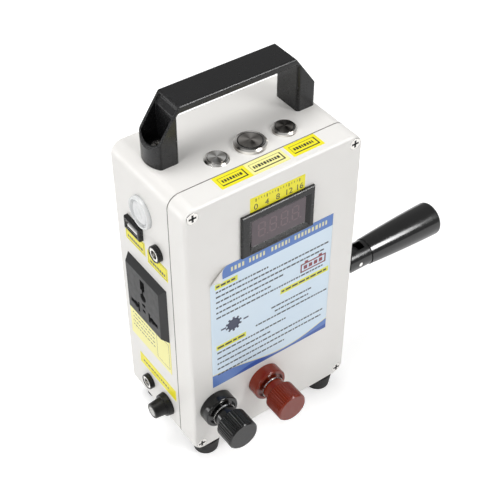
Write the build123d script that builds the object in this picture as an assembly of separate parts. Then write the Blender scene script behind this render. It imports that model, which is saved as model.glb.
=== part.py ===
from build123d import *

import os
from math import acos, cos, degrees, pi, radians, sin, sqrt, tan

# A hand crank generator in a moulded plastic instrument case.
# Millimetres. X runs to the right, Y to the back and Z up. The origin is on the
# floor, under the centre of the case.

# ---------------------------------------------------------------- fits
running_fit = 0.05          # radial, between a shaft and its bore
slide_fit = 0.10            # radial, between a push button and its bore
hole_fit = 0.10             # radial, between a screw or a bush and its hole
face_gap = 0.3              # between faces that turn past each other
panel_fit = 0.2             # around a part that sits in a cut-out of the case

# ---------------------------------------------------------------- case
case_width = 120.0
case_depth = 75.0
case_height = 200.0
case_wall = 3.0
case_corner_radius = 8.0
case_edge_round = 2.0
cover_depth = 16.0
seam_chamfer = 0.3
gasket_width = 1.2
gasket_height = 0.8
post_radius = 4.2
post_depth = 14.0
cover_screw_inset = 5.5
cover_screw_radius = 1.9
cover_screw_head_radius = 3.6
cover_screw_head_height = 1.4
cover_screw_end_gap = 2.0       # left under the screw in its post
cross_width = 1.1
cross_reach_share = 0.6         # of the head's radius and of its height

foot_height = 11.0
foot_top_radius = 9.5
foot_bottom_radius = 8.0
foot_inset_x = 14.0
foot_inset_y = 9.0
foot_recess_radius = 4.6
foot_recess_depth = 6.0
foot_screw_radius = 1.9
foot_screw_head_radius = 3.8
foot_screw_head_height = 2.4
foot_boss_radius = 4.4
foot_boss_height = 5.0

# ---------------------------------------------------------------- handle
handle_shift = 1.8              # off the middle of the case
handle_front_offset = 36.8      # from the front of the case to the handle's front
handle_end_margin = 4.8         # case side to the middle of the handle's end
handle_end_bulge = 3.6
handle_height = 36.0
handle_depth = 20.8
handle_slope_run = 17.2
handle_shoulder_height = 11.0
handle_leg_width = 15.4
handle_bar_edge = 5.0
handle_grip_bulge = 3.5
handle_inner_round = 2.0
handle_corner_round = 2.0
handle_edge_round = 1.2
handle_pocket_wall = 1.6
handle_pocket_step = 0.9        # the pocket's inner edge, outwards from the flat top's end
handle_pocket_lip = 3.0         # below the flat top
handle_pocket_slope = 3.6
handle_floor = 6.0
handle_screw_inset = 9.2
panel_screw_radius = 2.4
panel_screw_head_radius = 4.2
panel_screw_head_height = 2.6
panel_screw_socket_flats = 3.5
panel_screw_socket_depth = 1.6
panel_screw_stand_out = 1.0     # past its nut
panel_nut_flats = 8.0
panel_nut_height = 4.0

# ---------------------------------------------------------------- push buttons
button_row_inset = 28.1         # from the front of the case
lamp_button_x = -20.0
main_button_x = 2.4
usb_button_x = 25.8
low_button = dict(flange=7.3, rise=1.0, cap=5.1, barrel=5.9, depth=19.0, flats=14.0)
small_button = dict(flange=7.3, rise=2.2, cap=5.1, barrel=5.9, depth=19.0, flats=14.0)
main_button = dict(flange=9.6, rise=2.8, cap=6.7, barrel=7.9, depth=21.0, flats=19.0)
button_flange_bevel = 0.9
button_cap_rise = 0.8
button_cap_height = 4.0
button_stem_radius = 1.6
button_stem_length = 7.0
button_floor = 3.0
button_nut_height = 2.0
button_dome_radius = 40.0
button_spring_wire = 0.35
button_spring_radius = 3.0
button_spring_turns = 4
button_spring_height = 5.0
button_terminal_radius = 0.6
button_terminal_length = 4.0

# ---------------------------------------------------------------- left side
lamp_y = 6.0
lamp_below_top = 28.5
lamp_radius = 10.3
lamp_rise = 2.9
lamp_neck_radius = 8.8
lamp_neck_reach = 2.0           # past the inside of the case wall
lamp_taper = 0.6
lamp_edge_round = 0.9
lamp_shell = 1.2
lamp_board_thickness = 1.6
lamp_emitter_radius = 2.5
lamp_emitter_height = 1.4

usb_y = 15.0
usb_below_top = 46.2
usb_width = 16.5
usb_height = 8.9
usb_rise = 3.0
usb_body_depth = 16.0
usb_mouth_width = 13.0
usb_mouth_height = 5.8
usb_mouth_depth = 13.0
usb_body_wall = 0.8
usb_bevel = 0.6
usb_shell_inset = 0.4
usb_shell_thickness = 0.3
usb_tongue_thickness = 1.9
usb_tongue_length = 13.4
usb_tongue_gap = 1.2            # beside the tongue
usb_tongue_drop = 0.9
usb_tongue_root = 1.5

jack_upper_y = -8.7
jack_upper_below_top = 48.3
jack_lower_y = 13.2
jack_lower_height = 22.1
jack_nut_radius = 5.3
jack_rise = 3.3
jack_barrel_radius = 4.4
jack_bore_radius = 2.75
jack_bore_depth = 9.5
jack_body_depth = 12.0
jack_flange_thickness = 1.2
jack_face_inset = 0.3
jack_nut_bevel = 0.4
jack_pin_radius = 1.0
jack_pin_reach = 1.0

socket_y = 6.2
socket_gap_above = 9.3          # under the DC jack's label
socket_base_width = 42.0
socket_base_height = 43.4
socket_rise = 4.0
socket_bevel = 3.1
socket_body_width = 36.0
socket_body_height = 37.0
socket_body_depth = 20.0
socket_slot_depth = 17.0
# Openings of the outlet: (y, z, width, height), or (y, z, radius) where they are round.
socket_middle_slots = [
    (0.0, 11.4, 4.8, 8.0), (0.0, 6.0, 1.6, 6.0), (0.0, -4.9, 3.4, 2.2), (0.0, -9.7, 2.8, 2.2),
]
socket_middle_hole = (0.0, 1.6, 3.0)
socket_side_slots = [(10.2, -10.6, 9.4, 3.2), (5.9, -10.6, 1.8, 8.0)]
socket_side_hole = (9.0, -10.6, 2.4)
socket_contact_thickness = 1.0
socket_contact_width = 2.0
socket_contact_height = 4.0

regulator_y = -7.0
regulator_height = 19.1
regulator_body_radius = 8.0
regulator_body_depth = 9.0
regulator_bush_radius = 3.4
regulator_bush_rise = 0.4
regulator_shaft_radius = 1.5
knob_skirt_radius = 7.9
knob_skirt_height = 3.8
knob_cap_radius = 6.5
knob_face_radius = 5.2
knob_length = 12.0
knob_skirt_taper = 0.5
knob_edge_bevel = 0.5
knob_recess = 1.2
knob_recess_gap = 0.4
knob_shaft_reach = 8.0

# ---------------------------------------------------------------- front
meter_x = 0.7
meter_below_top = 35.0
meter_width = 50.0
meter_height = 29.6
meter_rise = 2.0
meter_body_width = 45.5
meter_body_height = 26.5
meter_body_depth = 12.0
meter_body_wall = 1.5
meter_edge_bevel = 0.5
meter_window_width = 37.6
meter_window_height = 18.6
meter_window_x = 1.8
meter_window_below_top = 36.1
meter_window_thickness = 1.0
meter_window_recess = 1.7
meter_slope_width = 2.4
meter_board_thickness = 1.6
meter_digits_depth = 5.0
meter_digits_margin = 1.0

post_black_inset = 16.5         # from the left side of the case
post_spacing = 36.8
post_height = 36.4
post_base_radius = 11.5
post_base_length = 7.5
post_base_round = 0.8
post_dish_depth = 1.6
post_dish_rim = 2.2
post_boss_radius = 5.0
post_boss_length = 1.3
post_neck_radius = 7.4
post_neck_top_radius = 8.3
post_neck_length = 5.8
post_cap_radius = 10.3
post_cap_length = 14.8
post_cap_chamfer = 0.9
post_flutes = 40
post_flute_depth = 0.45
post_flute_land = 0.4           # share of each flute's pitch that stays round
post_washer_radius = 7.7
post_washer_thickness = 0.9
post_stud_radius = 2.4
post_stud_reach = 22.0
post_stud_inside = 14.0
post_collar_radius = 3.6
post_collar_length = 2.4

label_thickness = 0.2
label_gap = 0.2
sticker_thickness = 0.25
sticker_width = 87.1
sticker_shift = -1.7            # off the middle of the case
sticker_bottom = 53.2
top_label_inset = 4.9           # from the front of the case
top_label_depth = 10.6
top_label_spans = {"lamp": (-2.1, 20.3), "main": (-1.9, 24.7), "usb": (0.1, 21.1)}
meter_label_width = 37.2
meter_label_height = 9.8
outlet_label_width = 21.0
outlet_label_height = 10.0
outlet_label_shift = 1.6        # off the middle of its outlet
outlet_label_drop = 6.4         # from the middle of its outlet to the label's top
socket_label_width = 46.0
socket_label_shift = 1.8
strip_label_width = 41.7
strip_label_shift = 9.8         # from the regulator to the middle of the strip
strip_label_height = 9.2
strip_label_rise = 12.6         # from the regulator to the strip's bottom
strip_label_gap = 13.2          # to the socket's label

# ---------------------------------------------------------------- crank
shaft_below_top = 64.0
shaft_radius = 4.0
shaft_flat = 3.2                # from the axis to the flat
shaft_end_gap = 1.0
crank_radius = 79.9
arm_face_gap = 14.4             # case wall to the inner face of the arm
arm_thickness = 8.0
arm_hub_width = 18.0
arm_tip_width = 15.0
arm_boss_radius = 8.5
arm_boss_gap = 1.3
arm_cover = 3.0                 # arm left in front of the shaft's end
tongue_thickness = 6.6
tongue_end_radius = 6.5
hinge_pin_offset = 35.8         # case wall to the hinge pin
hinge_pin_radius = 1.6
hinge_pin_inset = 0.15
tongue_fit = 0.15
fork_radius = 9.0
fork_end_radius = 9.3
fork_root = 7.1                 # hinge pin to the bottom of the slot
fork_length = 9.9               # hinge pin to the shoulder under the grip
crank_screw_head_radius = 5.0
crank_screw_head_height = 3.0
crank_screw_radius = 2.4
crank_screw_length = 15.0
crank_screw_socket = 2.0        # half across its flats
crank_screw_socket_depth = 1.8
screw_head_round = 1.0

grip_start = 46.0               # case wall to the near end of the grip
grip_length = 60.7
grip_near_radius = 9.5
grip_far_radius = 12.2
grip_far_round = 2.4
grip_swell_place = 0.55         # share of the length where the swell is nearly full
grip_swell_share = 0.72
grip_near_slope = 0.075
grip_far_slope = 0.01
spindle_radius = 4.0
grip_recess_radius = 6.6
grip_recess_depth = 9.0
grip_screw_head_radius = 6.0
grip_screw_head_height = 3.4
grip_screw_radius = 2.0
grip_screw_length = 12.0
grip_slot_length = 8.0
grip_slot_width = 1.2
grip_slot_depth = 1.2

# ---------------------------------------------------------------- gear train
gear_module = 1.0
gear_teeth = 48
pinion_teeth = 12
pressure_angle = 20.0
gear_addendum = 0.7
pinion_addendum = 1.0
tooth_root_clearance = 0.25
tooth_backlash = 0.10
bush_outer_radius = 6.0
bush_flange_radius = 8.0
bush_flange_thickness = 1.2
bush_body_length = 3.6
plate_thickness = 2.5
plate_boss_height = 2.5
plate_width = 42.0
plate_margin = 6.0
plate_corner_radius = 5.0
plate_gap = 21.5                # between the two plates
spacer_half_pitch = 15.0
spacer_reach = 28.0             # spacer to the nearer gear axis, along Z
spacer_radius = 3.6
frame_screw_radius = 1.4
frame_screw_head_radius = 2.8
frame_screw_head_height = 1.9
frame_screw_engagement = 8.0
frame_screw_end_gap = 0.3
frame_cross_reach = 2.6
frame_cross_width = 0.7
frame_cross_depth = 1.0
drive_gear_width = 6.0
drive_gear_inset = 2.0          # outer plate to the drive gear
drive_hub_radius = 8.0
middle_gear_width = 5.0
middle_gear_inset = 3.5         # inner plate to the middle gear
middle_shaft_radius = 3.0
rotor_shaft_radius = 2.0
pinion_overhang = 0.5           # pinion past its gear, at each end
gear_web_radius = 19.0
gear_web_depth = 1.2
rotor_bore_radius = 3.0

generator_radius = 18.5
generator_length = 42.0
generator_wall = 1.5
generator_cap_thickness = 3.0
generator_hub_radius = 6.0
generator_hub_rise = 2.0
generator_tab_length = 5.0
generator_tab_width = 3.0
generator_tab_thickness = 0.8
generator_tab_place = 9.0
rotor_end_reach = 1.0
rotor_radius = 14.0
rotor_length = 28.0

# ---------------------------------------------------------------- power board
board_left = -50.0
board_right = 20.0
board_bottom = 18.0
board_thickness = 1.6
board_boss_height = 4.9
board_boss_radius = 3.4
board_inset = 4.0
board_top_gap = 7.5             # below the generator
board_parts_shift = 4.0         # off the middle of the board
board_parts_gap = 6.0
coil_core_width = 34.0
coil_core_height = 30.0
coil_depth = 26.0
coil_leg = 6.0
coil_end_gap = 3.0
coil_winding_gap = 5.0
capacitor_radius = 6.0
capacitor_height = 19.0
capacitor_spacing = 15.0
capacitor_edge_round = 0.8

# ---------------------------------------------------------------- derived places
half_width = case_width / 2
front_y = -case_depth / 2
back_y = case_depth / 2
seam_y = front_y + cover_depth
case_bottom = foot_height
case_top = case_bottom + case_height
left_x = -half_width
right_x = half_width
shaft_z = case_top - shaft_below_top
pin_z = shaft_z - crank_radius
hinge_x = right_x + hinge_pin_offset
grip_x = right_x + grip_start
grip_end_x = grip_x + grip_length
arm_inner_x = right_x + arm_face_gap
arm_outer_x = arm_inner_x + arm_thickness
handle_y = front_y + handle_front_offset + handle_depth / 2
handle_length = case_width - 2 * handle_end_margin
handle_top_length = handle_length - 2 * handle_slope_run
handle_leg_spacing = handle_length - 2 * handle_leg_width
lamp_z = case_top - lamp_below_top
lamp_neck_end = left_x + case_wall + lamp_neck_reach
usb_z = case_top - usb_below_top
usb_body_width = usb_mouth_width + 2 * usb_body_wall
usb_body_height = usb_mouth_height + 2 * usb_body_wall
jack_upper_z = case_top - jack_upper_below_top
jack_lower_z = case_bottom + jack_lower_height
outlet_labels_bottom = jack_upper_z - outlet_label_drop - outlet_label_height
socket_z = outlet_labels_bottom - socket_gap_above - socket_base_height / 2
regulator_z = case_bottom + regulator_height
meter_z = case_top - meter_below_top
meter_window_z = case_top - meter_window_below_top
meter_window_face = front_y - meter_rise + meter_window_recess
meter_window_back = meter_window_face + meter_window_thickness
post_z = case_bottom + post_height
cap_base_y = front_y - post_base_length - post_boss_length - post_washer_thickness
cap_end_y = cap_base_y - post_neck_length - post_cap_length

centre_distance = gear_module * (gear_teeth + pinion_teeth) / 2
middle_z = shaft_z - centre_distance
outer_plate_outer_x = right_x - case_wall - plate_boss_height
outer_plate_x = outer_plate_outer_x - plate_thickness
inner_plate_x = outer_plate_x - plate_gap
inner_plate_end_x = inner_plate_x - plate_thickness
drive_gear_end_x = outer_plate_x - drive_gear_inset
drive_gear_x = drive_gear_end_x - drive_gear_width
middle_gear_x = inner_plate_x + middle_gear_inset
middle_gear_end_x = middle_gear_x + middle_gear_width
generator_back_x = inner_plate_end_x - generator_length
generator_bottom = shaft_z - generator_radius
board_top = generator_bottom - board_top_gap
board_back_y = back_y - case_wall - board_boss_height
board_front_y = board_back_y - board_thickness
board_base_z = case_bottom + board_bottom
board_parts_x = (board_left + board_right) / 2 + board_parts_shift

button_row_y = front_y + button_row_inset
button_places = {
    "lamp": (lamp_button_x, low_button),
    "main": (main_button_x, main_button),
    "usb": (usb_button_x, small_button),
}
jack_places = [(jack_upper_y, jack_upper_z), (jack_lower_y, jack_lower_z)]
post_black_x = left_x + post_black_inset
post_red_x = post_black_x + post_spacing
post_places = [post_black_x, post_red_x]
foot_rows = [front_y + foot_inset_y, back_y - foot_inset_y]
foot_sides = [left_x + foot_inset_x, right_x - foot_inset_x]
cover_screw_places = [
    (side * (half_width - cover_screw_inset), z)
    for side in (-1, 1)
    for z in (case_bottom + cover_screw_inset, case_top - cover_screw_inset)
]
spacer_places = [
    (side * spacer_half_pitch, z)
    for side in (-1, 1)
    for z in (middle_z - spacer_reach, shaft_z + spacer_reach)
]
board_screw_places = [
    (x, z)
    for x in (board_left + board_inset, board_right - board_inset)
    for z in (board_base_z + board_inset, board_top - board_inset)
]
handle_screw_offset = handle_length / 2 - handle_screw_inset
handle_screw_places = [handle_shift + side * handle_screw_offset for side in (-1, 1)]


# ---------------------------------------------------------------- helpers
def block(x0, x1, y0, y1, z0, z1):
    centre = Pos((x0 + x1) / 2, (y0 + y1) / 2, (z0 + z1) / 2)
    return centre * Box(x1 - x0, y1 - y0, z1 - z0)


def rod(start, end, radius, end_radius=None):
    start, end = Vector(start), Vector(end)
    way = end - start
    seat = Plane(origin=start, z_dir=way)
    low = (Align.CENTER, Align.CENTER, Align.MIN)
    if end_radius is None:
        return seat * Cylinder(radius, way.length, align=low)
    return seat * Cone(radius, end_radius, way.length, align=low)


def rod_x(x0, x1, y, z, radius, end_radius=None):
    return rod((x0, y, z), (x1, y, z), radius, end_radius)


def rod_y(y0, y1, x, z, radius, end_radius=None):
    return rod((x, y0, z), (x, y1, z), radius, end_radius)


def rod_z(z0, z1, x, y, radius, end_radius=None):
    return rod((x, y, z0), (x, y, z1), radius, end_radius)


def hex_z(z0, z1, x, y, flats):
    """A hexagon drawn out along Z, with two of its flats facing left and right."""
    face = RegularPolygon(flats / 2, 6, major_radius=False, rotation=30)
    return Pos(x, y, z0) * extrude(face, z1 - z0)


def hex_y(y0, y1, x, z, flats):
    face = RegularPolygon(flats / 2, 6, major_radius=False)
    return Plane(origin=(x, y0, z), z_dir=(0, 1, 0)) * extrude(face, y1 - y0)


def prism_y(width, height, radius, y0, y1):
    """A rounded rectangle, centred on the case, drawn out along Y."""
    middle = case_bottom + case_height / 2
    face = RectangleRounded(width, height, radius)
    seat = Plane(origin=(0, y1, middle), x_dir=(1, 0, 0), z_dir=(0, -1, 0))
    return seat * extrude(face, y1 - y0)


def frustum_x(x0, x1, y, z, size0, size1):
    """A rectangular frustum along -X, from size0 at x0 to size1 at x1."""
    faces = []
    for x, (width, height) in ((x0, size0), (x1, size1)):
        seat = Plane(origin=(x, y, z), x_dir=(0, 1, 0), z_dir=(-1, 0, 0))
        faces.append(seat * Rectangle(width, height))
    return loft(faces)


def pattern(shape, places):
    return [Pos(*place) * shape for place in places]


def save(node, shape):
    shape.label = node
    export_step(shape, f"parts/{node}.step")


def group(shapes):
    return Compound(children=[solid for shape in shapes for solid in shape.solids()])


# ---------------------------------------------------------------- case
def foot_boss(x, y):
    floor = case_bottom + case_wall
    return rod_z(floor, floor + foot_boss_height, x, y, foot_boss_radius)


def foot_hole(x, y):
    top = case_bottom + case_wall + foot_boss_height
    return rod_z(case_bottom, top, x, y, foot_screw_radius + hole_fit)


def rear_shell():
    outer = prism_y(case_width, case_height, case_corner_radius, seam_y, back_y)
    outer = fillet(outer.faces().sort_by(Axis.Y)[-1].edges(), case_edge_round)
    outer = chamfer(outer.faces().sort_by(Axis.Y)[0].edges(), seam_chamfer)
    inner_radius = case_corner_radius - case_wall
    shell = outer - prism_y(
        case_width - 2 * case_wall,
        case_height - 2 * case_wall,
        inner_radius,
        seam_y,
        back_y - case_wall,
    )
    for x, z in cover_screw_places:
        shell += rod_y(seam_y, seam_y + post_depth, x, z, post_radius)
    for x in foot_sides:
        shell += foot_boss(x, foot_rows[1])
    for y, z in spacer_places:
        shell += rod_x(outer_plate_outer_x, right_x - case_wall, y, z, spacer_radius)
    for x, z in board_screw_places:
        shell += rod_y(board_back_y, back_y - case_wall, x, z, board_boss_radius)
    for cut in shell_cuts():
        shell -= cut
    return shell


def shell_cuts():
    middle = (gasket_width + case_wall) / 2
    ring = prism_y(
        case_width - 2 * (case_wall - middle),
        case_height - 2 * (case_wall - middle),
        case_corner_radius - case_wall + middle,
        seam_y,
        seam_y + gasket_height,
    )
    cuts = [ring - gasket_core()]
    for x, z in cover_screw_places:
        cuts.append(rod_y(seam_y, seam_y + post_depth, x, z, cover_screw_radius + hole_fit))
    for x in foot_sides:
        cuts.append(foot_hole(x, foot_rows[1]))
    roof = case_top - case_wall
    for x, kind in button_places.values():
        cuts.append(rod_z(roof, case_top, x, button_row_y, kind["barrel"] + hole_fit))
    for x in handle_screw_places:
        cuts.append(rod_z(roof, case_top, x, handle_y, panel_screw_radius + hole_fit))
    inner_left = left_x + case_wall
    cuts.append(rod_x(left_x, inner_left, lamp_y, lamp_z, lamp_neck_radius + hole_fit))
    cuts.append(
        rod_x(left_x, inner_left, regulator_y, regulator_z, regulator_bush_radius + hole_fit)
    )
    for y, z in jack_places:
        cuts.append(rod_x(left_x, inner_left, y, z, jack_barrel_radius + hole_fit))
    for y, z, width, height in (
        (usb_y, usb_z, usb_body_width, usb_body_height),
        (socket_y, socket_z, socket_body_width, socket_body_height),
    ):
        half_y, half_z = width / 2 + panel_fit, height / 2 + panel_fit
        cuts.append(block(left_x, inner_left, y - half_y, y + half_y, z - half_z, z + half_z))
    cuts.append(rod_x(right_x - case_wall, right_x, 0, shaft_z, bush_outer_radius + hole_fit))
    for y, z in spacer_places:
        cuts.append(
            rod_x(outer_plate_outer_x, right_x, y, z, frame_screw_radius + hole_fit)
        )
    for x, z in board_screw_places:
        depth = back_y - case_wall
        cuts.append(rod_y(board_back_y, depth, x, z, frame_screw_radius + hole_fit))
    return cuts


def gasket_core():
    middle = (case_wall - gasket_width) / 2
    return prism_y(
        case_width - 2 * (case_wall - middle),
        case_height - 2 * (case_wall - middle),
        case_corner_radius - case_wall + middle,
        seam_y,
        seam_y + gasket_height,
    )


def cover_gasket():
    middle = (gasket_width + case_wall) / 2
    outer = prism_y(
        case_width - 2 * (case_wall - middle),
        case_height - 2 * (case_wall - middle),
        case_corner_radius - case_wall + middle,
        seam_y,
        seam_y + gasket_height,
    )
    ring = outer - gasket_core()
    for x, z in cover_screw_places:
        ring -= rod_y(seam_y, seam_y + gasket_height, x, z, cover_screw_radius + hole_fit)
    return ring


def front_cover():
    outer = prism_y(case_width, case_height, case_corner_radius, front_y, seam_y)
    outer = fillet(outer.faces().sort_by(Axis.Y)[0].edges(), case_edge_round)
    outer = chamfer(outer.faces().sort_by(Axis.Y)[-1].edges(), seam_chamfer)
    cover = outer - prism_y(
        case_width - 2 * case_wall,
        case_height - 2 * case_wall,
        case_corner_radius - case_wall,
        front_y + case_wall,
        seam_y,
    )
    for x, z in cover_screw_places:
        cover += rod_y(front_y + case_wall, seam_y, x, z, post_radius)
    for x in foot_sides:
        cover += foot_boss(x, foot_rows[0])
    for x, z in cover_screw_places:
        cover -= rod_y(front_y, seam_y, x, z, cover_screw_radius + hole_fit)
        sink = front_y + cover_screw_head_height
        cover -= rod_y(front_y, sink, x, z, cover_screw_head_radius + hole_fit)
    for x in foot_sides:
        cover -= foot_hole(x, foot_rows[0])
    for x in post_places:
        cover -= rod_y(front_y, front_y + case_wall, x, post_z, post_stud_radius + hole_fit)
    half_x = meter_body_width / 2 + panel_fit
    half_z = meter_body_height / 2 + panel_fit
    cover -= block(
        meter_x - half_x,
        meter_x + half_x,
        front_y,
        front_y + case_wall,
        meter_z - half_z,
        meter_z + half_z,
    )
    return cover


def cross_y(x, z, y, depth, reach):
    """A cross recess in a screw head that faces the front."""
    half = cross_width / 2
    return block(x - half, x + half, y, y + depth, z - reach, z + reach) + block(
        x - reach, x + reach, y, y + depth, z - half, z + half
    )


def cover_screws():
    screws = []
    for x, z in cover_screw_places:
        head = rod_y(front_y, front_y + cover_screw_head_height, x, z, cover_screw_head_radius)
        shank_end = seam_y + post_depth - cover_screw_end_gap
        screw = head + rod_y(front_y, shank_end, x, z, cover_screw_radius)
        reach = cover_screw_head_radius * cross_reach_share
        depth = cover_screw_head_height * cross_reach_share
        screws.append(screw - cross_y(x, z, front_y, depth, reach))
    return group(screws)


def rubber_feet():
    foot = rod_z(foot_height, 0, 0, 0, foot_top_radius, foot_bottom_radius)
    foot -= rod_z(0, foot_recess_depth, 0, 0, foot_recess_radius)
    foot -= rod_z(0, foot_height, 0, 0, foot_screw_radius + hole_fit)
    places = [(x, y, 0) for x in foot_sides for y in foot_rows]
    return group(pattern(foot, places))


def foot_screws():
    head_bottom = foot_recess_depth - foot_screw_head_height
    top = case_bottom + case_wall + foot_boss_height
    screw = rod_z(head_bottom, foot_recess_depth, 0, 0, foot_screw_head_radius)
    screw += rod_z(foot_recess_depth, top, 0, 0, foot_screw_radius)
    places = [(x, y, 0) for x in foot_sides for y in foot_rows]
    return group(pattern(screw, places))


# ---------------------------------------------------------------- handle
def carry_handle():
    """A bridge handle: a flat bar on two legs, with an open pocket in each sloping end."""
    half = handle_length / 2
    half_gap = handle_leg_spacing / 2
    body = handle_side(half, half_gap) & handle_plan(half, handle_depth)
    top_edges = body.faces().sort_by(Axis.Z)[-1].edges().filter_by(Axis.X)
    body = fillet(top_edges, handle_edge_round)
    body += handle_grip_swell(half_gap)
    for side_sign in (-1, 1):
        body -= handle_pocket(side_sign, half, half_gap)
        x = side_sign * handle_screw_offset
        body -= rod_z(0, handle_floor, x, 0, panel_screw_radius + hole_fit)
    return Pos(handle_shift, handle_y, case_top) * body


def handle_side(half, half_gap):
    """The handle seen from the front, drawn out to its depth, with a rounded finger gap."""
    half_top = handle_top_length / 2
    bar_bottom = handle_height - handle_bar_edge
    outline = [
        (-half, 0), (-half, handle_shoulder_height), (-half_top, handle_height),
        (half_top, handle_height), (half, handle_shoulder_height), (half, 0),
    ]
    across = Plane(origin=(0, handle_depth / 2, 0), x_dir=(1, 0, 0), z_dir=(0, -1, 0))
    body = across * extrude(make_face(Polyline(*outline, close=True)), handle_depth)
    gap = block(
        -half_gap, half_gap, -handle_depth / 2, handle_depth / 2, -handle_inner_round, bar_bottom
    )
    upper = gap.edges().filter_by(Axis.Y).group_by(Axis.Z)[-1]
    body -= fillet(upper, handle_inner_round)
    rim = body.edges().filter_by(lambda edge: is_gap_rim(edge, half_gap, bar_bottom))
    return fillet(rim, handle_corner_round)


def is_gap_rim(edge, half_gap, bar_bottom):
    """Whether an edge runs round the finger gap on the handle's front or back."""
    centre = edge.center()
    on_face = abs(abs(centre.Y) - handle_depth / 2) < 0.01
    return on_face and abs(centre.X) < half_gap + 0.01 and 0 < centre.Z < bar_bottom + 0.01


def handle_plan(half, depth):
    """The handle seen from above: its outer ends are arcs with rounded corners."""
    y = depth / 2
    corner = handle_length / 2 - handle_end_bulge
    outline = Line((-corner, -y), (corner, -y))
    outline += ThreePointArc((corner, -y), (half, 0), (corner, y))
    outline += Line((corner, y), (-corner, y))
    outline += ThreePointArc((-corner, y), (-half, 0), (-corner, -y))
    face = make_face(outline)
    return extrude(fillet(face.vertices(), handle_corner_round), handle_height)


def handle_grip_swell(half_gap):
    """The finger side of the bar is rounded, so the bar is thicker in its middle."""
    half = handle_depth / 2 - handle_corner_round
    swell = ThreePointArc((-half, 0), (0, -handle_grip_bulge), (half, 0))
    face = make_face(swell + Line((half, 0), (-half, 0)))
    bar_bottom = handle_height - handle_bar_edge
    along = Plane(origin=(-half_gap, 0, bar_bottom), x_dir=(0, 1, 0), z_dir=(1, 0, 0))
    return along * extrude(face, 2 * half_gap)


def handle_pocket(side_sign, half, half_gap):
    """The open pocket in the end of the handle, which the screw goes in through."""
    inner = half_gap + handle_pocket_wall
    top_inner = handle_top_length / 2 + handle_pocket_step
    lip = handle_height - handle_pocket_lip
    profile = Polyline(
        (inner, handle_floor),
        (half, handle_floor),
        (half, handle_height),
        (top_inner, handle_height),
        (top_inner, lip),
        (inner, lip - handle_pocket_slope),
        close=True,
    )
    depth = handle_depth - 2 * handle_pocket_wall
    across = Plane(origin=(0, depth / 2, 0), x_dir=(1, 0, 0), z_dir=(0, -1, 0))
    pocket = across * extrude(make_face(profile), depth)
    pocket &= handle_plan(half - handle_pocket_wall, depth)
    return pocket if side_sign > 0 else mirror(pocket, Plane.YZ)


def handle_screws():
    screws = []
    end = case_top - case_wall - panel_nut_height - panel_screw_stand_out
    floor = case_top + handle_floor
    for x in handle_screw_places:
        top = floor + panel_screw_head_height
        screw = rod_z(floor, top, x, handle_y, panel_screw_head_radius)
        screw += rod_z(end, floor, x, handle_y, panel_screw_radius)
        low = top - panel_screw_socket_depth
        screws.append(screw - hex_z(low, top, x, handle_y, panel_screw_socket_flats))
    return group(screws)


def panel_nuts():
    """Hex nuts inside the case: two under the handle, two behind the binding posts."""
    nuts = []
    bore = panel_screw_radius + running_fit
    for x in handle_screw_places:
        high = case_top - case_wall
        nut = hex_z(high - panel_nut_height, high, x, handle_y, panel_nut_flats)
        nuts.append(nut - rod_z(high - panel_nut_height, high, x, handle_y, bore))
    for x in post_places:
        near = front_y + case_wall
        nut = hex_y(near, near + panel_nut_height, x, post_z, panel_nut_flats)
        nuts.append(nut - rod_y(near, near + panel_nut_height, x, post_z, bore))
    return group(nuts)


# ---------------------------------------------------------------- push buttons
def button_housing(kind):
    """A flanged, threaded metal barrel, closed at the bottom by its terminal block."""
    flange_top = kind["rise"]
    shoulder = flange_top - button_flange_bevel
    crown = kind["flange"] - button_flange_bevel
    body = rod_z(0, shoulder, 0, 0, kind["flange"])
    body += rod_z(shoulder, flange_top, 0, 0, kind["flange"], crown)
    body += rod_z(-kind["depth"], 0, 0, 0, kind["barrel"])
    bore = kind["cap"] + slide_fit
    body -= rod_z(button_floor - kind["depth"], flange_top, 0, 0, bore)
    for side in (-1, 1):
        x = side * kind["barrel"] / 2
        low = -kind["depth"] - button_terminal_length
        body += rod_z(low, -kind["depth"], x, 0, button_terminal_radius)
    return body


def button_at(name):
    x, kind = button_places[name]
    return Pos(x, button_row_y, case_top) * button_housing(kind)


def small_button_housings():
    return group([button_at("lamp"), button_at("usb")])


def main_button_housing():
    return button_at("main")


def button_cap(name):
    """The pressed cap, slightly domed, with the stem that works the contacts."""
    x, kind = button_places[name]
    top = kind["rise"] + button_cap_rise
    low = top - button_cap_height
    cap = rod_z(low, top, 0, 0, kind["cap"])
    cap &= Pos(0, 0, top - button_dome_radius) * Sphere(button_dome_radius)
    cap += rod_z(low - button_stem_length, low, 0, 0, button_stem_radius)
    return Pos(x, button_row_y, case_top) * cap


def button_nuts():
    nuts = []
    high = case_top - case_wall
    for x, kind in button_places.values():
        nut = hex_z(high - button_nut_height, high, x, button_row_y, kind["flats"])
        bore = kind["barrel"] + running_fit
        nuts.append(nut - rod_z(high - button_nut_height, high, x, button_row_y, bore))
    return group(nuts)


def button_springs():
    """Return springs, drawn at their pressed length, standing on the housing floors."""
    pitch = button_spring_height / button_spring_turns
    path = Helix(pitch, button_spring_height, button_spring_radius)
    section = Plane(origin=path @ 0, z_dir=path % 0) * Circle(button_spring_wire)
    coil = sweep(section, path)
    springs = []
    for x, kind in button_places.values():
        floor = case_top + button_floor - kind["depth"] + button_spring_wire + running_fit
        springs.append(Pos(x, button_row_y, floor) * coil)
    return group(springs)


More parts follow.
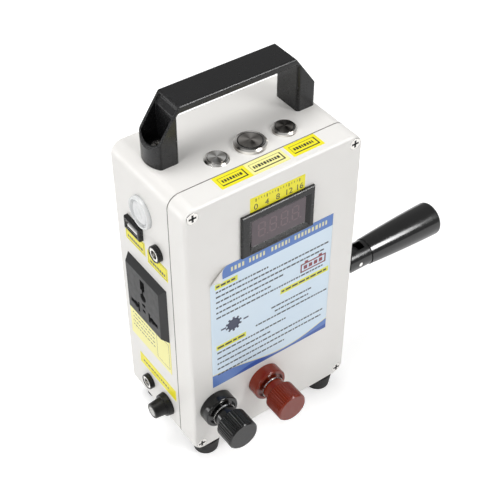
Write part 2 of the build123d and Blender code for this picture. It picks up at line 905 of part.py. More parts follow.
# ---------------------------------------------------------------- left side
def lamp_lens():
    """Frosted lens: a low flat button outside, and a hollow neck through the wall."""
    face = left_x - lamp_rise
    lens = rod_x(left_x, face, lamp_y, lamp_z, lamp_radius, lamp_radius - lamp_taper)
    lens = fillet(lens.faces().sort_by(Axis.X)[0].edges(), lamp_edge_round)
    lens += rod_x(left_x, lamp_neck_end, lamp_y, lamp_z, lamp_neck_radius)
    hollow = lamp_neck_radius - lamp_shell
    return lens - rod_x(face + lamp_shell, lamp_neck_end, lamp_y, lamp_z, hollow)


def lamp_board():
    board_end = lamp_neck_end + lamp_board_thickness
    board = rod_x(lamp_neck_end, board_end, lamp_y, lamp_z, lamp_neck_radius)
    emitter_start = lamp_neck_end - lamp_emitter_height
    return board + rod_x(emitter_start, lamp_neck_end, lamp_y, lamp_z, lamp_emitter_radius)


def box_on_left(depth_out, depth_in, y, z, width, height):
    return block(
        left_x - depth_out,
        left_x + depth_in,
        y - width / 2,
        y + width / 2,
        z - height / 2,
        z + height / 2,
    )


def usb_port_housing():
    housing = box_on_left(usb_rise, 0, usb_y, usb_z, usb_width, usb_height)
    front_edges = housing.faces().sort_by(Axis.X)[0].edges()
    housing = chamfer(front_edges, usb_bevel)
    housing += box_on_left(0, usb_body_depth, usb_y, usb_z, usb_body_width, usb_body_height)
    mouth = box_on_left(
        usb_rise, usb_mouth_depth, usb_y, usb_z, usb_mouth_width, usb_mouth_height
    )
    return housing - mouth


def usb_port_shell():
    width, height = usb_mouth_width, usb_mouth_height
    thin = 2 * usb_shell_thickness
    reach = usb_rise - usb_shell_inset
    shell = box_on_left(reach, usb_mouth_depth, usb_y, usb_z, width, height)
    hollow_depth = usb_mouth_depth - usb_shell_thickness
    return shell - box_on_left(reach, hollow_depth, usb_y, usb_z, width - thin, height - thin)


def usb_port_tongue():
    back = usb_mouth_depth - usb_shell_thickness
    width = usb_mouth_width - 2 * usb_tongue_gap
    start = back - usb_tongue_length - usb_tongue_root
    z = usb_z - usb_tongue_drop
    tongue = box_on_left(-start, back, usb_y, z, width, usb_tongue_thickness)
    root_height = usb_mouth_height - 2 * usb_shell_thickness
    return tongue + box_on_left(usb_tongue_root - back, back, usb_y, usb_z, width, root_height)


def dc_jack_bodies():
    jacks = []
    for y, z in jack_places:
        face = left_x - jack_rise + jack_face_inset
        bore_end = left_x + jack_bore_depth
        flange = left_x + case_wall
        barrel = rod_x(face, left_x + jack_body_depth, y, z, jack_barrel_radius)
        barrel += rod_x(flange, flange + jack_flange_thickness, y, z, jack_nut_radius)
        barrel -= rod_x(face, bore_end, y, z, jack_bore_radius)
        barrel += rod_x(left_x - jack_pin_reach, bore_end, y, z, jack_pin_radius)
        jacks.append(barrel)
    return group(jacks)


def dc_jack_nuts():
    nuts = []
    for y, z in jack_places:
        ring = rod_x(left_x, left_x - jack_rise, y, z, jack_nut_radius)
        ring = chamfer(ring.faces().sort_by(Axis.X)[0].edges(), jack_nut_bevel)
        bore = jack_barrel_radius + running_fit
        nuts.append(ring - rod_x(left_x, left_x - jack_rise, y, z, bore))
    return group(nuts)


def both_sides(opening):
    """An opening of the outlet and its mirror image."""
    y, *rest = opening
    return [(side * y, *rest) for side in (-1, 1)]


def ac_socket():
    base = (socket_base_width, socket_base_height)
    face = (socket_base_width - 2 * socket_bevel, socket_base_height - 2 * socket_bevel)
    front_x = left_x - socket_rise
    body = frustum_x(left_x, front_x, socket_y, socket_z, base, face)
    body += box_on_left(
        0, socket_body_depth, socket_y, socket_z, socket_body_width, socket_body_height
    )
    deep = socket_slot_depth - socket_rise
    slots = list(socket_middle_slots)
    for slot in socket_side_slots:
        slots += both_sides(slot)
    for y, z, width, height in slots:
        body -= box_on_left(socket_rise, deep, socket_y + y, socket_z + z, width, height)
    for y, z, radius in [socket_middle_hole, *both_sides(socket_side_hole)]:
        body -= rod_x(front_x, left_x + deep, socket_y + y, socket_z + z, radius)
    return body


def ac_socket_contacts():
    """Three brass contacts at the bottom of the openings."""
    contacts = []
    deep = socket_slot_depth - socket_rise
    for y, z, *_ in [socket_middle_slots[0], *both_sides(socket_side_hole)]:
        pad = box_on_left(
            socket_contact_thickness - deep, deep, socket_y + y, socket_z + z,
            socket_contact_width, socket_contact_height,
        )
        contacts.append(pad)
    return group(contacts)


def regulator_body():
    inner = left_x + case_wall
    body = rod_x(inner, inner + regulator_body_depth, regulator_y, regulator_z, regulator_body_radius)
    bush_end = left_x - regulator_bush_rise
    body += rod_x(bush_end, inner, regulator_y, regulator_z, regulator_bush_radius)
    bore = regulator_shaft_radius + running_fit
    return body - rod_x(bush_end, inner + knob_shaft_reach, regulator_y, regulator_z, bore)


def regulator_knob():
    start = left_x - face_gap
    y, z = regulator_y, regulator_z
    skirt_top = knob_skirt_radius - knob_skirt_taper
    knob = rod_x(start, start - knob_skirt_height, y, z, knob_skirt_radius, skirt_top)
    knob += rod_x(start, left_x - knob_length, y, z, knob_cap_radius, knob_face_radius)
    knob = chamfer(knob.faces().sort_by(Axis.X)[0].edges(), knob_edge_bevel)
    roof = start - knob_recess
    knob -= rod_x(start, roof, y, z, regulator_bush_radius + knob_recess_gap)
    shaft_end = left_x + case_wall + knob_shaft_reach - face_gap
    return knob + rod_x(roof, shaft_end, y, z, regulator_shaft_radius)


# ---------------------------------------------------------------- front
def meter_bezel():
    half_x, half_z = meter_width / 2, meter_height / 2
    frame = block(
        meter_x - half_x, meter_x + half_x, front_y - meter_rise, front_y,
        meter_z - half_z, meter_z + half_z,
    )
    frame = chamfer(frame.faces().sort_by(Axis.Y)[0].edges(), meter_edge_bevel)
    half_bx, half_bz = meter_body_width / 2, meter_body_height / 2
    inside = front_y + meter_body_depth
    frame += block(
        meter_x - half_bx, meter_x + half_bx, front_y, inside,
        meter_z - half_bz, meter_z + half_bz,
    )
    half_bx -= meter_body_wall
    half_bz -= meter_body_wall
    frame -= block(
        meter_x - half_bx, meter_x + half_bx, meter_window_back, inside,
        meter_z - half_bz, meter_z + half_bz,
    )
    return frame - meter_mouth()


def meter_mouth():
    """The opening of the bezel, wider at the front, so its edge slopes to the window."""
    faces = []
    for y, grow in ((front_y - meter_rise, 2 * meter_slope_width), (meter_window_face, 0)):
        seat = Plane(origin=(meter_window_x, y, meter_window_z), x_dir=(1, 0, 0), z_dir=(0, 1, 0))
        faces.append(seat * Rectangle(meter_window_width + grow, meter_window_height + grow))
    slope = loft(faces)
    half_x, half_z = meter_window_width / 2, meter_window_height / 2
    return slope + block(
        meter_window_x - half_x, meter_window_x + half_x, meter_window_face, meter_window_back,
        meter_window_z - half_z, meter_window_z + half_z,
    )


def meter_window():
    half_x = meter_window_width / 2 - running_fit
    half_z = meter_window_height / 2 - running_fit
    return block(
        meter_window_x - half_x, meter_window_x + half_x, meter_window_face, meter_window_back,
        meter_window_z - half_z, meter_window_z + half_z,
    )


def meter_board():
    half_x = meter_body_width / 2 - meter_body_wall - panel_fit
    half_z = meter_body_height / 2 - meter_body_wall - panel_fit
    digits_back = meter_window_back + meter_digits_depth
    board = block(
        meter_x - half_x, meter_x + half_x, digits_back, digits_back + meter_board_thickness,
        meter_z - half_z, meter_z + half_z,
    )
    digit_half_x = meter_window_width / 2 - meter_digits_margin
    digit_half_z = meter_window_height / 2 - meter_digits_margin
    return board + block(
        meter_window_x - digit_half_x, meter_window_x + digit_half_x, meter_window_back,
        digits_back, meter_window_z - digit_half_z, meter_window_z + digit_half_z,
    )


def post_base(x):
    """The insulating collar of a binding post, dished around its boss."""
    face = front_y - post_base_length
    base = rod_y(front_y, face, x, post_z, post_base_radius)
    base = fillet(base.faces().sort_by(Axis.Y)[0].edges(), post_base_round)
    dish = face + post_dish_depth
    boss_end = face - post_boss_length
    base -= rod_y(face, dish, x, post_z, post_base_radius - post_dish_rim)
    base += rod_y(dish, boss_end + face_gap, x, post_z, post_boss_radius)
    return base - rod_y(front_y, boss_end, x, post_z, post_stud_radius + hole_fit)


def post_studs():
    studs = []
    for x in post_places:
        end = front_y - post_stud_reach
        studs.append(rod_y(front_y + post_stud_inside, end, x, post_z, post_stud_radius))
    return group(studs)


def post_washer(x):
    """The bright clamping washer, pushed out with the cap by its own collar."""
    back = cap_base_y + post_washer_thickness
    washer = rod_y(cap_base_y, back, x, post_z, post_washer_radius)
    collar_end = cap_base_y - post_collar_length
    washer += rod_y(collar_end, cap_base_y, x, post_z, post_collar_radius)
    bore = post_stud_radius + running_fit
    return washer - rod_y(collar_end, back, x, post_z, bore)


def post_cap(x):
    """The fluted cap: a plain conical neck and a grooved grip."""
    neck_end = cap_base_y - face_gap - post_neck_length
    cap = rod_y(cap_base_y - face_gap, neck_end, x, post_z, post_neck_radius, post_neck_top_radius)
    flutes = flute_face()
    seat = Plane(origin=(x, neck_end, post_z), x_dir=(1, 0, 0), z_dir=(0, -1, 0))
    grip = seat * extrude(flutes, neck_end - cap_end_y)
    outline = rod_y(neck_end, cap_end_y, x, post_z, post_cap_radius)
    ends = outline.faces().filter_by(Axis.Y).edges()
    grip &= chamfer(ends, post_cap_chamfer)
    cap += grip
    collar = post_collar_radius + running_fit
    cap -= rod_y(cap_base_y, cap_base_y - post_collar_length - face_gap, x, post_z, collar)
    bore_end = front_y - post_stud_reach - face_gap
    return cap - rod_y(cap_base_y, bore_end, x, post_z, post_stud_radius + running_fit)


def flute_face():
    """Round grip outline with shallow V grooves."""
    groove = post_cap_radius - post_flute_depth
    rise = (1 - post_flute_land) / 2
    flute = ((0.0, groove), (rise, post_cap_radius), (1 - rise, post_cap_radius))
    points = []
    for i in range(post_flutes):
        for share, radius in flute:
            angle = 2 * pi * (i + share) / post_flutes
            points.append((radius * cos(angle), radius * sin(angle)))
    return make_face(Polyline(*points, close=True))


def info_sticker():
    top = meter_z - meter_height / 2 - label_gap
    return block(
        sticker_shift - sticker_width / 2, sticker_shift + sticker_width / 2,
        front_y - sticker_thickness, front_y, case_bottom + sticker_bottom, top,
    )


def label_on_left(y, width, z0, z1):
    return block(left_x - label_thickness, left_x, y - width / 2, y + width / 2, z0, z1)


def marking_labels():
    """Thin adhesive labels: three on the top, four on the left side, one over the meter."""
    labels = []
    label_y = front_y + top_label_inset
    for name, (shift, width) in top_label_spans.items():
        x0 = button_places[name][0] + shift - width / 2
        y1, z1 = label_y + top_label_depth, case_top + label_thickness
        labels.append(block(x0, x0 + width, label_y, y1, case_top, z1))
    for y, z in ((usb_y, usb_z), (jack_upper_y, jack_upper_z)):
        high = z - outlet_label_drop
        low = high - outlet_label_height
        labels.append(label_on_left(y + outlet_label_shift, outlet_label_width, low, high))
    strip_low = regulator_z + strip_label_rise
    strip_high = strip_low + strip_label_height
    strip_y = regulator_y + strip_label_shift
    labels.append(label_on_left(strip_y, strip_label_width, strip_low, strip_high))
    high = socket_z - socket_base_height / 2 - label_gap
    low = strip_high + strip_label_gap
    labels.append(label_on_left(socket_y + socket_label_shift, socket_label_width, low, high))
    half = meter_label_width / 2
    low = meter_z + meter_height / 2 + label_gap
    face_y, high = front_y - label_thickness, low + meter_label_height
    labels.append(block(meter_x - half, meter_x + half, face_y, front_y, low, high))
    return group(labels)


# ---------------------------------------------------------------- crank
def shaft_blank(x0, x1, extra):
    """Shaft stock with one flat, for the shaft and, with extra, for its bores."""
    blank = rod_x(x0, x1, 0, shaft_z, shaft_radius + extra)
    flat = shaft_flat + extra
    far = shaft_radius + extra + 1
    return blank - block(x0, x1, -far, far, shaft_z + flat, shaft_z + far)


def crank_shaft():
    inner_end = drive_gear_x - shaft_end_gap
    outer_end = arm_outer_x - arm_cover
    gear_seat = shaft_blank(inner_end, drive_gear_end_x, 0)
    journal = rod_x(drive_gear_end_x, arm_inner_x, 0, shaft_z, shaft_radius)
    arm_seat = shaft_blank(arm_inner_x, outer_end, 0)
    shaft = gear_seat + journal + arm_seat
    depth = outer_end - (crank_screw_length - arm_cover) - shaft_end_gap
    return shaft - rod_x(depth, outer_end, 0, shaft_z, crank_screw_radius + running_fit)


def crank_arm():
    hub, tip = arm_hub_width / 2, arm_tip_width / 2
    plate = rod_x(arm_inner_x, arm_outer_x, 0, shaft_z, hub)
    plate += rod_x(arm_inner_x, arm_outer_x, 0, pin_z, tip)
    sides = Polyline((-hub, shaft_z), (hub, shaft_z), (tip, pin_z), (-tip, pin_z), close=True)
    seat = Plane(origin=(arm_inner_x, 0, 0), x_dir=(0, 1, 0), z_dir=(1, 0, 0))
    plate += seat * extrude(make_face(sides), arm_thickness)
    boss_x = right_x + bush_flange_thickness + arm_boss_gap
    plate += rod_x(boss_x, arm_inner_x, 0, shaft_z, arm_boss_radius)
    half, reach = tongue_thickness / 2, tongue_end_radius
    plate += block(arm_outer_x, hinge_x, -half, half, pin_z - reach, pin_z + reach)
    plate += rod_y(-half, half, hinge_x, pin_z, tongue_end_radius)
    plate -= rod_y(-half, half, hinge_x, pin_z, hinge_pin_radius + running_fit)
    outer_end = arm_outer_x - arm_cover
    plate -= rod_x(right_x, arm_inner_x, 0, shaft_z, shaft_radius)
    plate -= shaft_blank(arm_inner_x, outer_end, 0)
    return plate - rod_x(outer_end, arm_outer_x, 0, shaft_z, crank_screw_radius + hole_fit)


def crank_screw():
    head_end = arm_outer_x + crank_screw_head_height
    screw = rod_x(arm_outer_x, head_end, 0, shaft_z, crank_screw_head_radius)
    screw = fillet(screw.faces().sort_by(Axis.X)[-1].edges(), screw_head_round)
    screw += rod_x(arm_outer_x - crank_screw_length, arm_outer_x, 0, shaft_z, crank_screw_radius)
    seat = Plane(origin=(head_end - crank_screw_socket_depth, 0, shaft_z), z_dir=(1, 0, 0))
    hexagon = RegularPolygon(crank_screw_socket, 6, major_radius=False)
    return screw - seat * extrude(hexagon, crank_screw_socket_depth)


def hinge_pin():
    half = fork_radius - hinge_pin_inset
    return rod_y(-half, half, hinge_x, pin_z, hinge_pin_radius)


def grip_spindle():
    """The forked end that folds on the hinge pin, and the rod that the grip turns on."""
    shoulder = hinge_x + fork_length
    fork = rod_x(hinge_x - fork_end_radius, shoulder, 0, pin_z, fork_radius)
    rounded = rod_y(-fork_radius, fork_radius, hinge_x, pin_z, fork_end_radius)
    low, high = pin_z - fork_radius, pin_z + fork_radius
    fork &= rounded + block(hinge_x, shoulder, -fork_radius, fork_radius, low, high)
    half = tongue_thickness / 2 + tongue_fit
    fork -= block(hinge_x - fork_end_radius, hinge_x + fork_root, -half, half, low, high)
    fork -= rod_y(-fork_radius, fork_radius, hinge_x, pin_z, hinge_pin_radius)
    end = grip_end_x - grip_recess_depth + face_gap
    fork += rod_x(shoulder, end, 0, pin_z, spindle_radius)
    bore_start = end - grip_screw_length - shaft_end_gap
    return fork - rod_x(bore_start, end, 0, pin_z, grip_screw_radius + running_fit)


def grip():
    """Turned grip, slim at the crank and full at the free end."""
    near, far = grip_near_radius, grip_far_radius
    middle = (grip_length * grip_swell_place, near + (far - near) * grip_swell_share)
    round_start = (grip_length - grip_far_round, far)
    round_end = (grip_length, far - grip_far_round)
    slopes = [(1, grip_near_slope), (1, grip_far_slope)]
    curve = Spline((0, near), middle, round_start, tangents=slopes)
    end = RadiusArc(round_start, round_end, grip_far_round)
    closing = Polyline(round_end, (grip_length, 0), (0, 0), (0, near))
    half_section = Plane(origin=(grip_x, 0, pin_z), x_dir=(1, 0, 0), z_dir=(0, -1, 0))
    grip_axis = Axis((grip_x, 0, pin_z), (1, 0, 0))
    body = revolve(half_section * make_face(curve + end + closing), grip_axis)
    body -= rod_x(grip_x, grip_end_x, 0, pin_z, spindle_radius + running_fit)
    return body - rod_x(grip_end_x - grip_recess_depth, grip_end_x, 0, pin_z, grip_recess_radius)


def grip_screw():
    end = grip_end_x - grip_recess_depth + face_gap
    screw = rod_x(end, end + grip_screw_head_height, 0, pin_z, grip_screw_head_radius)
    screw = fillet(screw.faces().sort_by(Axis.X)[-1].edges(), screw_head_round)
    screw += rod_x(end - grip_screw_length, end, 0, pin_z, grip_screw_radius)
    head_end = end + grip_screw_head_height
    half_y, half_z = grip_slot_length / 2, grip_slot_width / 2
    low, high = pin_z - half_z, pin_z + half_z
    return screw - block(head_end - grip_slot_depth, head_end, -half_y, half_y, low, high)


# ---------------------------------------------------------------- gear train
def involute(base_radius, radius):
    """The angle that an involute has turned through when it reaches a radius."""
    if radius <= base_radius:
        return 0.0
    pressure = acos(base_radius / radius)
    return tan(pressure) - pressure


def gear_face(teeth, addendum, root_radius, turn):
    """Outline of a spur gear, with a tooth centred on the angle turn (degrees)."""
    pitch_radius = gear_module * teeth / 2
    base_radius = pitch_radius * cos(radians(pressure_angle))
    tip_radius = pitch_radius + addendum * gear_module
    thickness = pi * gear_module / 2 - tooth_backlash
    half_tooth = thickness / (2 * pitch_radius) + involute(base_radius, pitch_radius)
    start = max(base_radius, root_radius)
    steps = 4
    flank = []
    if root_radius < base_radius:
        flank.append((root_radius, half_tooth))
    for i in range(steps + 1):
        radius = start + (tip_radius - start) * i / steps
        flank.append((radius, half_tooth - involute(base_radius, radius)))
    points = []
    for tooth in range(teeth):
        centre = radians(turn) + 2 * pi * tooth / teeth
        sides = [(r, centre - a) for r, a in flank] + [(r, centre + a) for r, a in reversed(flank)]
        points += [(r * cos(a), r * sin(a)) for r, a in sides]
    return make_face(Polyline(*points, close=True))


def spur_gear(x0, x1, z, teeth, addendum, mate_addendum, turn):
    mate_teeth = gear_teeth + pinion_teeth - teeth
    mate_tip = gear_module * (mate_teeth / 2 + mate_addendum)
    root_radius = centre_distance - mate_tip - tooth_root_clearance
    seat = Plane(origin=(x0, 0, z), x_dir=(0, 1, 0), z_dir=(1, 0, 0))
    return seat * extrude(gear_face(teeth, addendum, root_radius, turn), x1 - x0)


def big_gear(x0, x1, z, turn):
    """A 48-tooth gear with a thinned web on both sides."""
    gear = spur_gear(x0, x1, z, gear_teeth, gear_addendum, pinion_addendum, turn)
    for a, b in ((x0, x0 + gear_web_depth), (x1 - gear_web_depth, x1)):
        gear -= rod_x(a, b, 0, z, gear_web_radius) - rod_x(a, b, 0, z, drive_hub_radius)
    return gear


def drive_gear():
    gear = big_gear(drive_gear_x, drive_gear_end_x, shaft_z, -90)
    return gear - shaft_blank(drive_gear_x, drive_gear_end_x, 0)


def middle_gear():
    gear = big_gear(middle_gear_x, middle_gear_end_x, middle_z, 90)
    return gear - rod_x(middle_gear_x, middle_gear_end_x, 0, middle_z, middle_shaft_radius)


def middle_shaft():
    """The second shaft, with its pinion cut from the solid."""
    half_pitch = 180 / pinion_teeth
    pinion = spur_gear(
        drive_gear_x - pinion_overhang, drive_gear_end_x + pinion_overhang, middle_z,
        pinion_teeth, pinion_addendum, gear_addendum, 90 + half_pitch,
    )
    return pinion + rod_x(inner_plate_end_x, outer_plate_outer_x, 0, middle_z, middle_shaft_radius)


def rotor_pinion():
    half_pitch = 180 / pinion_teeth
    x0, x1 = middle_gear_x - pinion_overhang, middle_gear_end_x + pinion_overhang
    pinion = spur_gear(
        x0, x1, shaft_z, pinion_teeth, pinion_addendum, gear_addendum, -90 + half_pitch
    )
    return pinion - rod_x(x0, x1, 0, shaft_z, rotor_shaft_radius)


def shaft_bush():
    bush = rod_x(0, bush_flange_thickness, 0, 0, bush_flange_radius)
    bush += rod_x(-bush_body_length, 0, 0, 0, bush_outer_radius)
    return bush - rod_x(-bush_body_length, bush_flange_thickness, 0, 0, shaft_radius + running_fit)


def shaft_bushes():
    outer = Pos(right_x, 0, shaft_z) * shaft_bush()
    inner = Pos(outer_plate_x, 0, shaft_z) * Rot(0, 180, 0) * shaft_bush()
    return group([outer, inner])


def gearbox_plate(x0, shaft_hole_radius):
    x1 = x0 + plate_thickness
    half = plate_width / 2
    low = middle_z - spacer_reach - plate_margin
    high = shaft_z + spacer_reach + plate_margin
    plate = block(x0, x1, -half, half, low, high)
    plate = fillet(plate.edges().filter_by(Axis.X), plate_corner_radius)
    plate -= rod_x(x0, x1, 0, shaft_z, shaft_hole_radius)
    plate -= rod_x(x0, x1, 0, middle_z, middle_shaft_radius + running_fit)
    for y, z in spacer_places:
        plate -= rod_x(x0, x1, y, z, frame_screw_radius + hole_fit)
    return plate


def gearbox_plates():
    outer = gearbox_plate(outer_plate_x, bush_outer_radius + hole_fit)
    inner = gearbox_plate(inner_plate_end_x, rotor_bore_radius)
    return group([outer, inner])


def gearbox_spacers():
    spacers = []
    for y, z in spacer_places:
        spacer = rod_x(inner_plate_x, outer_plate_x, y, z, spacer_radius)
        bore = frame_screw_radius + running_fit
        spacers.append(spacer - rod_x(inner_plate_x, outer_plate_x, y, z, bore))
    return group(spacers)


def frame_screw(head_at, way, reach):
    """A pan-head screw along X or Y. head_at is the face that the head sits on."""
    start = Vector(head_at)
    way = Vector(way)
    top = start - way * frame_screw_head_height
    end = start + way * reach
    screw = rod(top, start, frame_screw_head_radius)
    screw += rod(start, end, frame_screw_radius)
    seat = Plane(origin=top, z_dir=way)
    across = Rectangle(frame_cross_reach, frame_cross_width)
    upright = Rectangle(frame_cross_width, frame_cross_reach)
    return screw - seat * extrude(across + upright, frame_cross_depth)


def frame_screws():
    """Screws through the right wall, the inner plate and the power board."""
    screws = []
    outside_reach = right_x - outer_plate_x + frame_screw_engagement
    for y, z in spacer_places:
        screws.append(frame_screw((right_x, y, z), (-1, 0, 0), outside_reach))
        inside_reach = plate_thickness + frame_screw_engagement
        screws.append(frame_screw((inner_plate_end_x, y, z), (1, 0, 0), inside_reach))
    for x, z in board_screw_places:
        reach = board_thickness + board_boss_height - frame_screw_end_gap
        screws.append(frame_screw((x, board_front_y, z), (0, 1, 0), reach))
    return group(screws)


# ---------------------------------------------------------------- generator
def generator_can():
    x0, x1 = generator_back_x, inner_plate_end_x
    can = rod_x(x0, x1, 0, shaft_z, generator_radius)
    can -= rod_x(x0, x1 - generator_wall, 0, shaft_z, generator_radius - generator_wall)
    return can - rod_x(x0, x1, 0, shaft_z, rotor_shaft_radius + running_fit)


def generator_end_cap():
    x0 = generator_back_x
    bore = generator_radius - generator_wall
    cap_end, hub_end = x0 + generator_cap_thickness, x0 - generator_hub_rise
    cap = rod_x(x0, cap_end, 0, shaft_z, bore)
    cap += rod_x(hub_end, x0, 0, shaft_z, generator_hub_radius)
    half_y, half_z = generator_tab_width / 2, generator_tab_thickness / 2
    for y in (-generator_tab_place, generator_tab_place):
        tab_end = x0 - generator_tab_length
        cap += block(tab_end, x0, y - half_y, y + half_y, shaft_z - half_z, shaft_z + half_z)
    return cap - rod_x(hub_end, cap_end, 0, shaft_z, rotor_shaft_radius + running_fit)


def generator_rotor():
    """Magnet rotor with its shaft; the pinion is pressed on the shaft's front end."""
    inside_start = generator_back_x + generator_cap_thickness
    inside_end = inner_plate_end_x - generator_wall
    middle = (inside_start + inside_end) / 2
    magnet = rod_x(middle - rotor_length / 2, middle + rotor_length / 2, 0, shaft_z, rotor_radius)
    front, back = middle_gear_end_x + rotor_end_reach, generator_back_x - rotor_end_reach
    return magnet + rod_x(back, front, 0, shaft_z, rotor_shaft_radius)


# ---------------------------------------------------------------- power board
def power_board():
    board = block(board_left, board_right, board_front_y, board_back_y, board_base_z, board_top)
    for x, z in board_screw_places:
        board -= rod_y(board_front_y, board_back_y, x, z, frame_screw_radius + hole_fit)
    return board


def power_transformer():
    """A ferrite core with its winding, standing on the board."""
    x = board_parts_x
    z = board_base_z + board_inset + board_parts_gap + coil_core_height / 2
    half_x, half_z = coil_core_width / 2, coil_core_height / 2
    front = board_front_y - coil_depth
    core = block(x - half_x, x + half_x, front, board_front_y, z - half_z, z + half_z)
    gap_x = half_x - coil_leg
    window = block(x - gap_x, x + gap_x, front, board_front_y, z - half_z, z + half_z)
    winding = rod_y(front + coil_end_gap, board_front_y, x, z, half_x - coil_winding_gap)
    return core - window + winding


def board_capacitors():
    z = board_top - board_inset - board_parts_gap - capacitor_radius
    cans = []
    for i in (-1, 0, 1):
        x = board_parts_x + i * capacitor_spacing
        can = rod_y(board_front_y, board_front_y - capacitor_height, x, z, capacitor_radius)
        cans.append(fillet(can.faces().sort_by(Axis.Y)[0].edges(), capacitor_edge_round))
    return group(cans)


# ---------------------------------------------------------------- output
def build():
    os.makedirs("parts", exist_ok=True)
    save("rear_shell", rear_shell())
    save("front_cover", front_cover())
    save("cover_gasket", cover_gasket())
    save("cover_screws", cover_screws())
    save("rubber_feet", rubber_feet())
    save("foot_screws", foot_screws())
    save("carry_handle", carry_handle())
    save("handle_screws", handle_screws())
    save("panel_nuts", panel_nuts())
    save("small_button_housings", small_button_housings())
    save("main_button_housing", main_button_housing())
    save("button_nuts", button_nuts())
    save("button_springs", button_springs())
    for name in button_places:
        save(f"{name}_button_cap", button_cap(name))
    save("lamp_lens", lamp_lens())
    save("lamp_board", lamp_board())
    save("usb_port_housing", usb_port_housing())
    save("usb_port_shell", usb_port_shell())
    save("usb_port_tongue", usb_port_tongue())
    save("dc_jack_bodies", dc_jack_bodies())
    save("dc_jack_nuts", dc_jack_nuts())
    save("ac_socket", ac_socket())
    save("ac_socket_contacts", ac_socket_contacts())
    save("regulator_body", regulator_body())
    save("regulator_knob", regulator_knob())
    save("meter_bezel", meter_bezel())
    save("meter_window", meter_window())
    save("meter_board", meter_board())
    for colour, x in (("black", post_black_x), ("red", post_red_x)):
        save(f"{colour}_post_base", post_base(x))
        save(f"{colour}_post_washer", post_washer(x))
        save(f"{colour}_post_cap", post_cap(x))
    save("post_studs", post_studs())
    save("info_sticker", info_sticker())
    save("marking_labels", marking_labels())
    save("crank_shaft", crank_shaft())
    save("crank_arm", crank_arm())
    save("crank_screw", crank_screw())
    save("hinge_pin", hinge_pin())
    save("grip_spindle", grip_spindle())
    save("grip", grip())
    save("grip_screw", grip_screw())
    save("drive_gear", drive_gear())
    save("middle_shaft", middle_shaft())
    save("middle_gear", middle_gear())
    save("rotor_pinion", rotor_pinion())
    save("shaft_bushes", shaft_bushes())
    save("gearbox_plates", gearbox_plates())
    save("gearbox_spacers", gearbox_spacers())
    save("frame_screws", frame_screws())
    save("generator_can", generator_can())
    save("generator_end_cap", generator_end_cap())
    save("generator_rotor", generator_rotor())
    save("power_board", power_board())
    save("power_transformer", power_transformer())
    save("board_capacitors", board_capacitors())


build()
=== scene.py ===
import random
from math import cos, pi, radians, sin

import bmesh
import bpy
from mathutils import Matrix, Vector


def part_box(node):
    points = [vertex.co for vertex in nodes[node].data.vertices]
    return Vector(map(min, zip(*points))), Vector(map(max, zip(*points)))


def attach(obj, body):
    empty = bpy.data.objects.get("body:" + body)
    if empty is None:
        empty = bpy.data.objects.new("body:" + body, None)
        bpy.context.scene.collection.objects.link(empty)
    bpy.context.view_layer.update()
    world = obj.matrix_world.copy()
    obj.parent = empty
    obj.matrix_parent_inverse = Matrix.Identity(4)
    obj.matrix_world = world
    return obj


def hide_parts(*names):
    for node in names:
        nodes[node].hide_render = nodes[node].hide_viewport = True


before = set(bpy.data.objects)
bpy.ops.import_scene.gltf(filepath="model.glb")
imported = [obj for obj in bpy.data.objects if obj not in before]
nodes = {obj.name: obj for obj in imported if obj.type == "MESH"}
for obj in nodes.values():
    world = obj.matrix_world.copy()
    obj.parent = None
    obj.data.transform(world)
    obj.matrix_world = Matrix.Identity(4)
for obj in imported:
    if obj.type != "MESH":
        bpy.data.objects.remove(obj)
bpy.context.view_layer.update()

MM = 0.001
case_low, case_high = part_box("front_cover")
FRONT = case_low.y / MM
FLOOR_OF_CASE = case_low.z / MM
TOP = case_high.z / MM
LEFT = case_low.x / MM
SEAM = case_high.y / MM

sticker_low, sticker_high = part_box("info_sticker")
STICKER_FACE = sticker_low.y / MM
FILM = 0.2                      # thickness of the labels and of the sticker, in mm
INK = 0.04                      # how far printed ink stands off its label
HEADER_HEIGHT = 9.1             # the blue band along the top of the sticker


# ---------------------------------------------------------------- materials
def linear(colour):
    """An sRGB hex colour as the linear one that a shader takes."""
    parts = [int(colour[i:i + 2], 16) / 255 for i in (1, 3, 5)]
    return (*[p / 12.92 if p <= 0.04045 else ((p + 0.055) / 1.055) ** 2.4 for p in parts], 1)


def add(tree, kind, sockets=None, **properties):
    """Adds a node, sets its properties, and sets or links the sockets named."""
    node = tree.nodes.new("ShaderNode" + kind)
    for name, value in properties.items():
        setattr(node, name, value)
    for name, value in (sockets or {}).items():
        if isinstance(value, bpy.types.NodeSocket):
            tree.links.new(value, node.inputs[name])
        else:
            node.inputs[name].default_value = value
    return node


def start(name):
    """An empty material with its output, its shader and the place on the object."""
    material = bpy.data.materials.new(name)
    material.use_nodes = True
    tree = material.node_tree
    tree.nodes.clear()
    shader = add(tree, "BsdfPrincipled")
    add(tree, "OutputMaterial", {"Surface": shader.outputs[0]})
    place = add(tree, "TexCoord").outputs["Object"]
    return material, tree, shader, place


def mottled(tree, place, size, one, other, detail=2.0):
    """Two colours that drift into each other over patches of the given size in mm."""
    noise = add(tree, "TexNoise", {"Vector": place, "Scale": 1 / (size * MM), "Detail": detail})
    colours = {0: noise.outputs[0], 6: linear(one), 7: linear(other)}
    return add(tree, "Mix", colours, data_type="RGBA").outputs[2]


def uneven(tree, place, size, low, high, detail=2.0):
    """A number that drifts between two values over patches of the given size in mm."""
    noise = add(tree, "TexNoise", {"Vector": place, "Scale": 1 / (size * MM), "Detail": detail})
    share = add(tree, "MapRange", {"Value": noise.outputs[0], 1: 0.3, 2: 0.7, 3: low, 4: high})
    return share.outputs[0]


